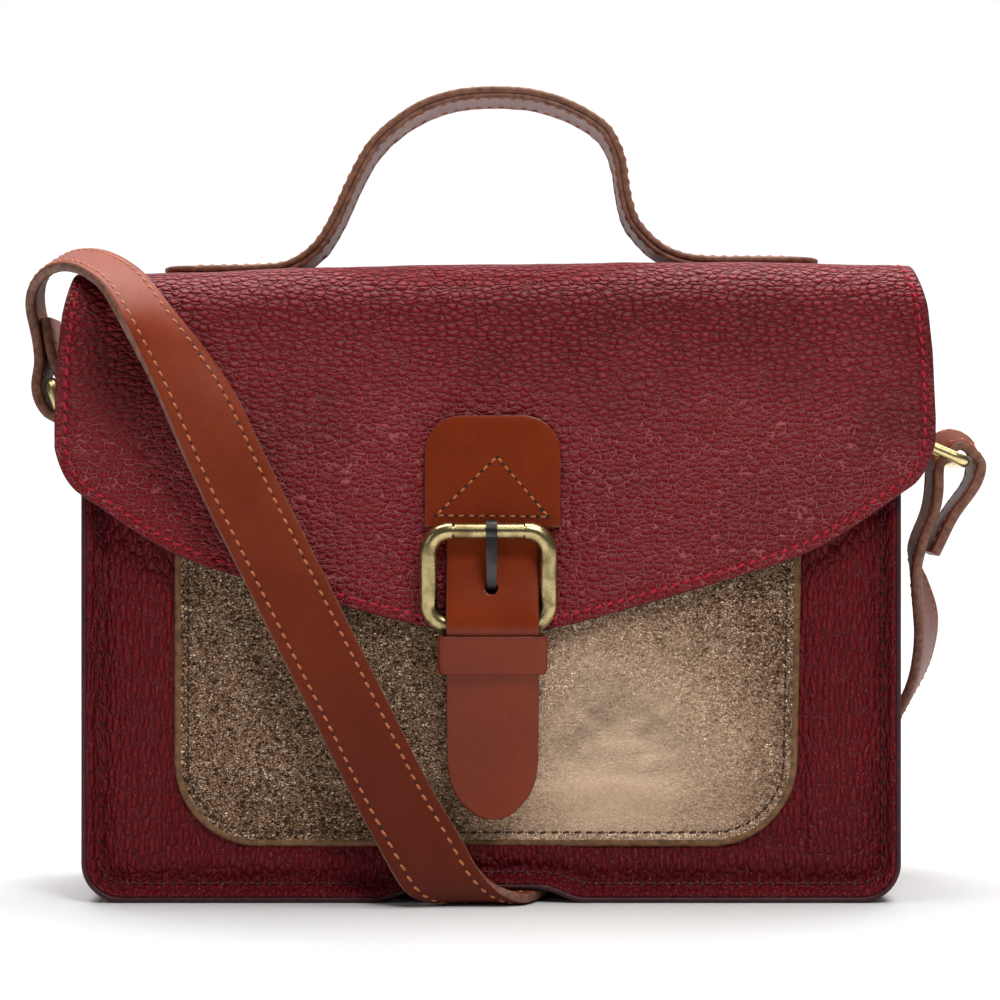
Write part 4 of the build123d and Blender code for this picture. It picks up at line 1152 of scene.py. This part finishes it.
# ---- stage, light, camera ---------------------------------------------------------------
def backdrop():
    """Floor that curves up far behind the bag, in metres."""
    curve, r = 1.2, 0.9
    prof = [(-0.6, 0.0), (curve, 0.0)] + [(curve + r * math.sin(a), r - r * math.cos(a))
                                          for a in np.radians(np.linspace(6, 90, 15))] + [(curve + r, 4.0)]
    verts = [(x, y, z - 0.0002) for y, z in prof for x in (-4.0, 4.0)]
    faces = [(2 * i, 2 * i + 1, 2 * i + 3, 2 * i + 2) for i in range(len(prof) - 1)]
    mesh = bpy.data.meshes.new("studio_floor")
    mesh.from_pydata(verts, [], faces)
    mesh.polygons.foreach_set("use_smooth", np.ones(len(faces), bool))
    t = Tree("studio_paper", rest=False)
    paper = t.mix(t.noise(300, 2.0), (0.66, 0.658, 0.655, 1), (0.68, 0.678, 0.675, 1))
    mesh.materials.append(t.surface(paper, 0.7, Specular_IOR_Level=0.1))
    obj = bpy.data.objects.new("studio_floor", mesh)
    bpy.context.scene.collection.objects.link(obj)


def area_light(name, at, target, size, power):
    light = bpy.data.lights.new(name, "AREA")
    light.shape = "RECTANGLE"
    light.size, light.size_y = size
    light.energy = power
    obj = bpy.data.objects.new(name, light)
    obj.location = at
    obj.rotation_euler = (Vector(target) - Vector(at)).to_track_quat("-Z", "Y").to_euler()
    bpy.context.scene.collection.objects.link(obj)


backdrop()
world = bpy.data.worlds.new("studio")
bpy.context.scene.world = world
world.use_nodes = True
sky = world.node_tree.nodes["Background"]
sky.inputs[0].default_value = (1, 1, 1, 1)
seen = world.node_tree.nodes.new("ShaderNodeLightPath")
level = world.node_tree.nodes.new("ShaderNodeMapRange")
level.inputs["To Min"].default_value, level.inputs["To Max"].default_value = 0.07, 1.0
world.node_tree.links.new(seen.outputs["Is Camera Ray"], level.inputs["Value"])
world.node_tree.links.new(level.outputs[0], sky.inputs[1])
area_light("top", (0.0, 0.14, 1.15), (0, 0, 0), (1.3, 0.9), 25)
area_light("key", (0.35, -0.8, 1.05), (0.02, 0, 0.1), (0.4, 0.3), 8.5)
area_light("fill", (-1.3, -1.2, 0.5), (0, 0, 0.1), (0.5, 0.9), 1.2)
area_light("back", (0.0, 1.1, 1.4), (0, 1.6, 0.4), (3.0, 0.8), 36)

camera = bpy.data.cameras.new("camera")
camera.lens, camera.sensor_width = 101.0, 36.0
camera.clip_start = 0.01
eye = bpy.data.objects.new("camera", camera)
eye.location = place(2.7, -893, 122.7)
eye.rotation_euler = (math.pi / 2, 0, 0)
bpy.context.scene.collection.objects.link(eye)
bpy.context.scene.camera = eye
bpy.context.scene.view_settings.view_transform = "Standard"
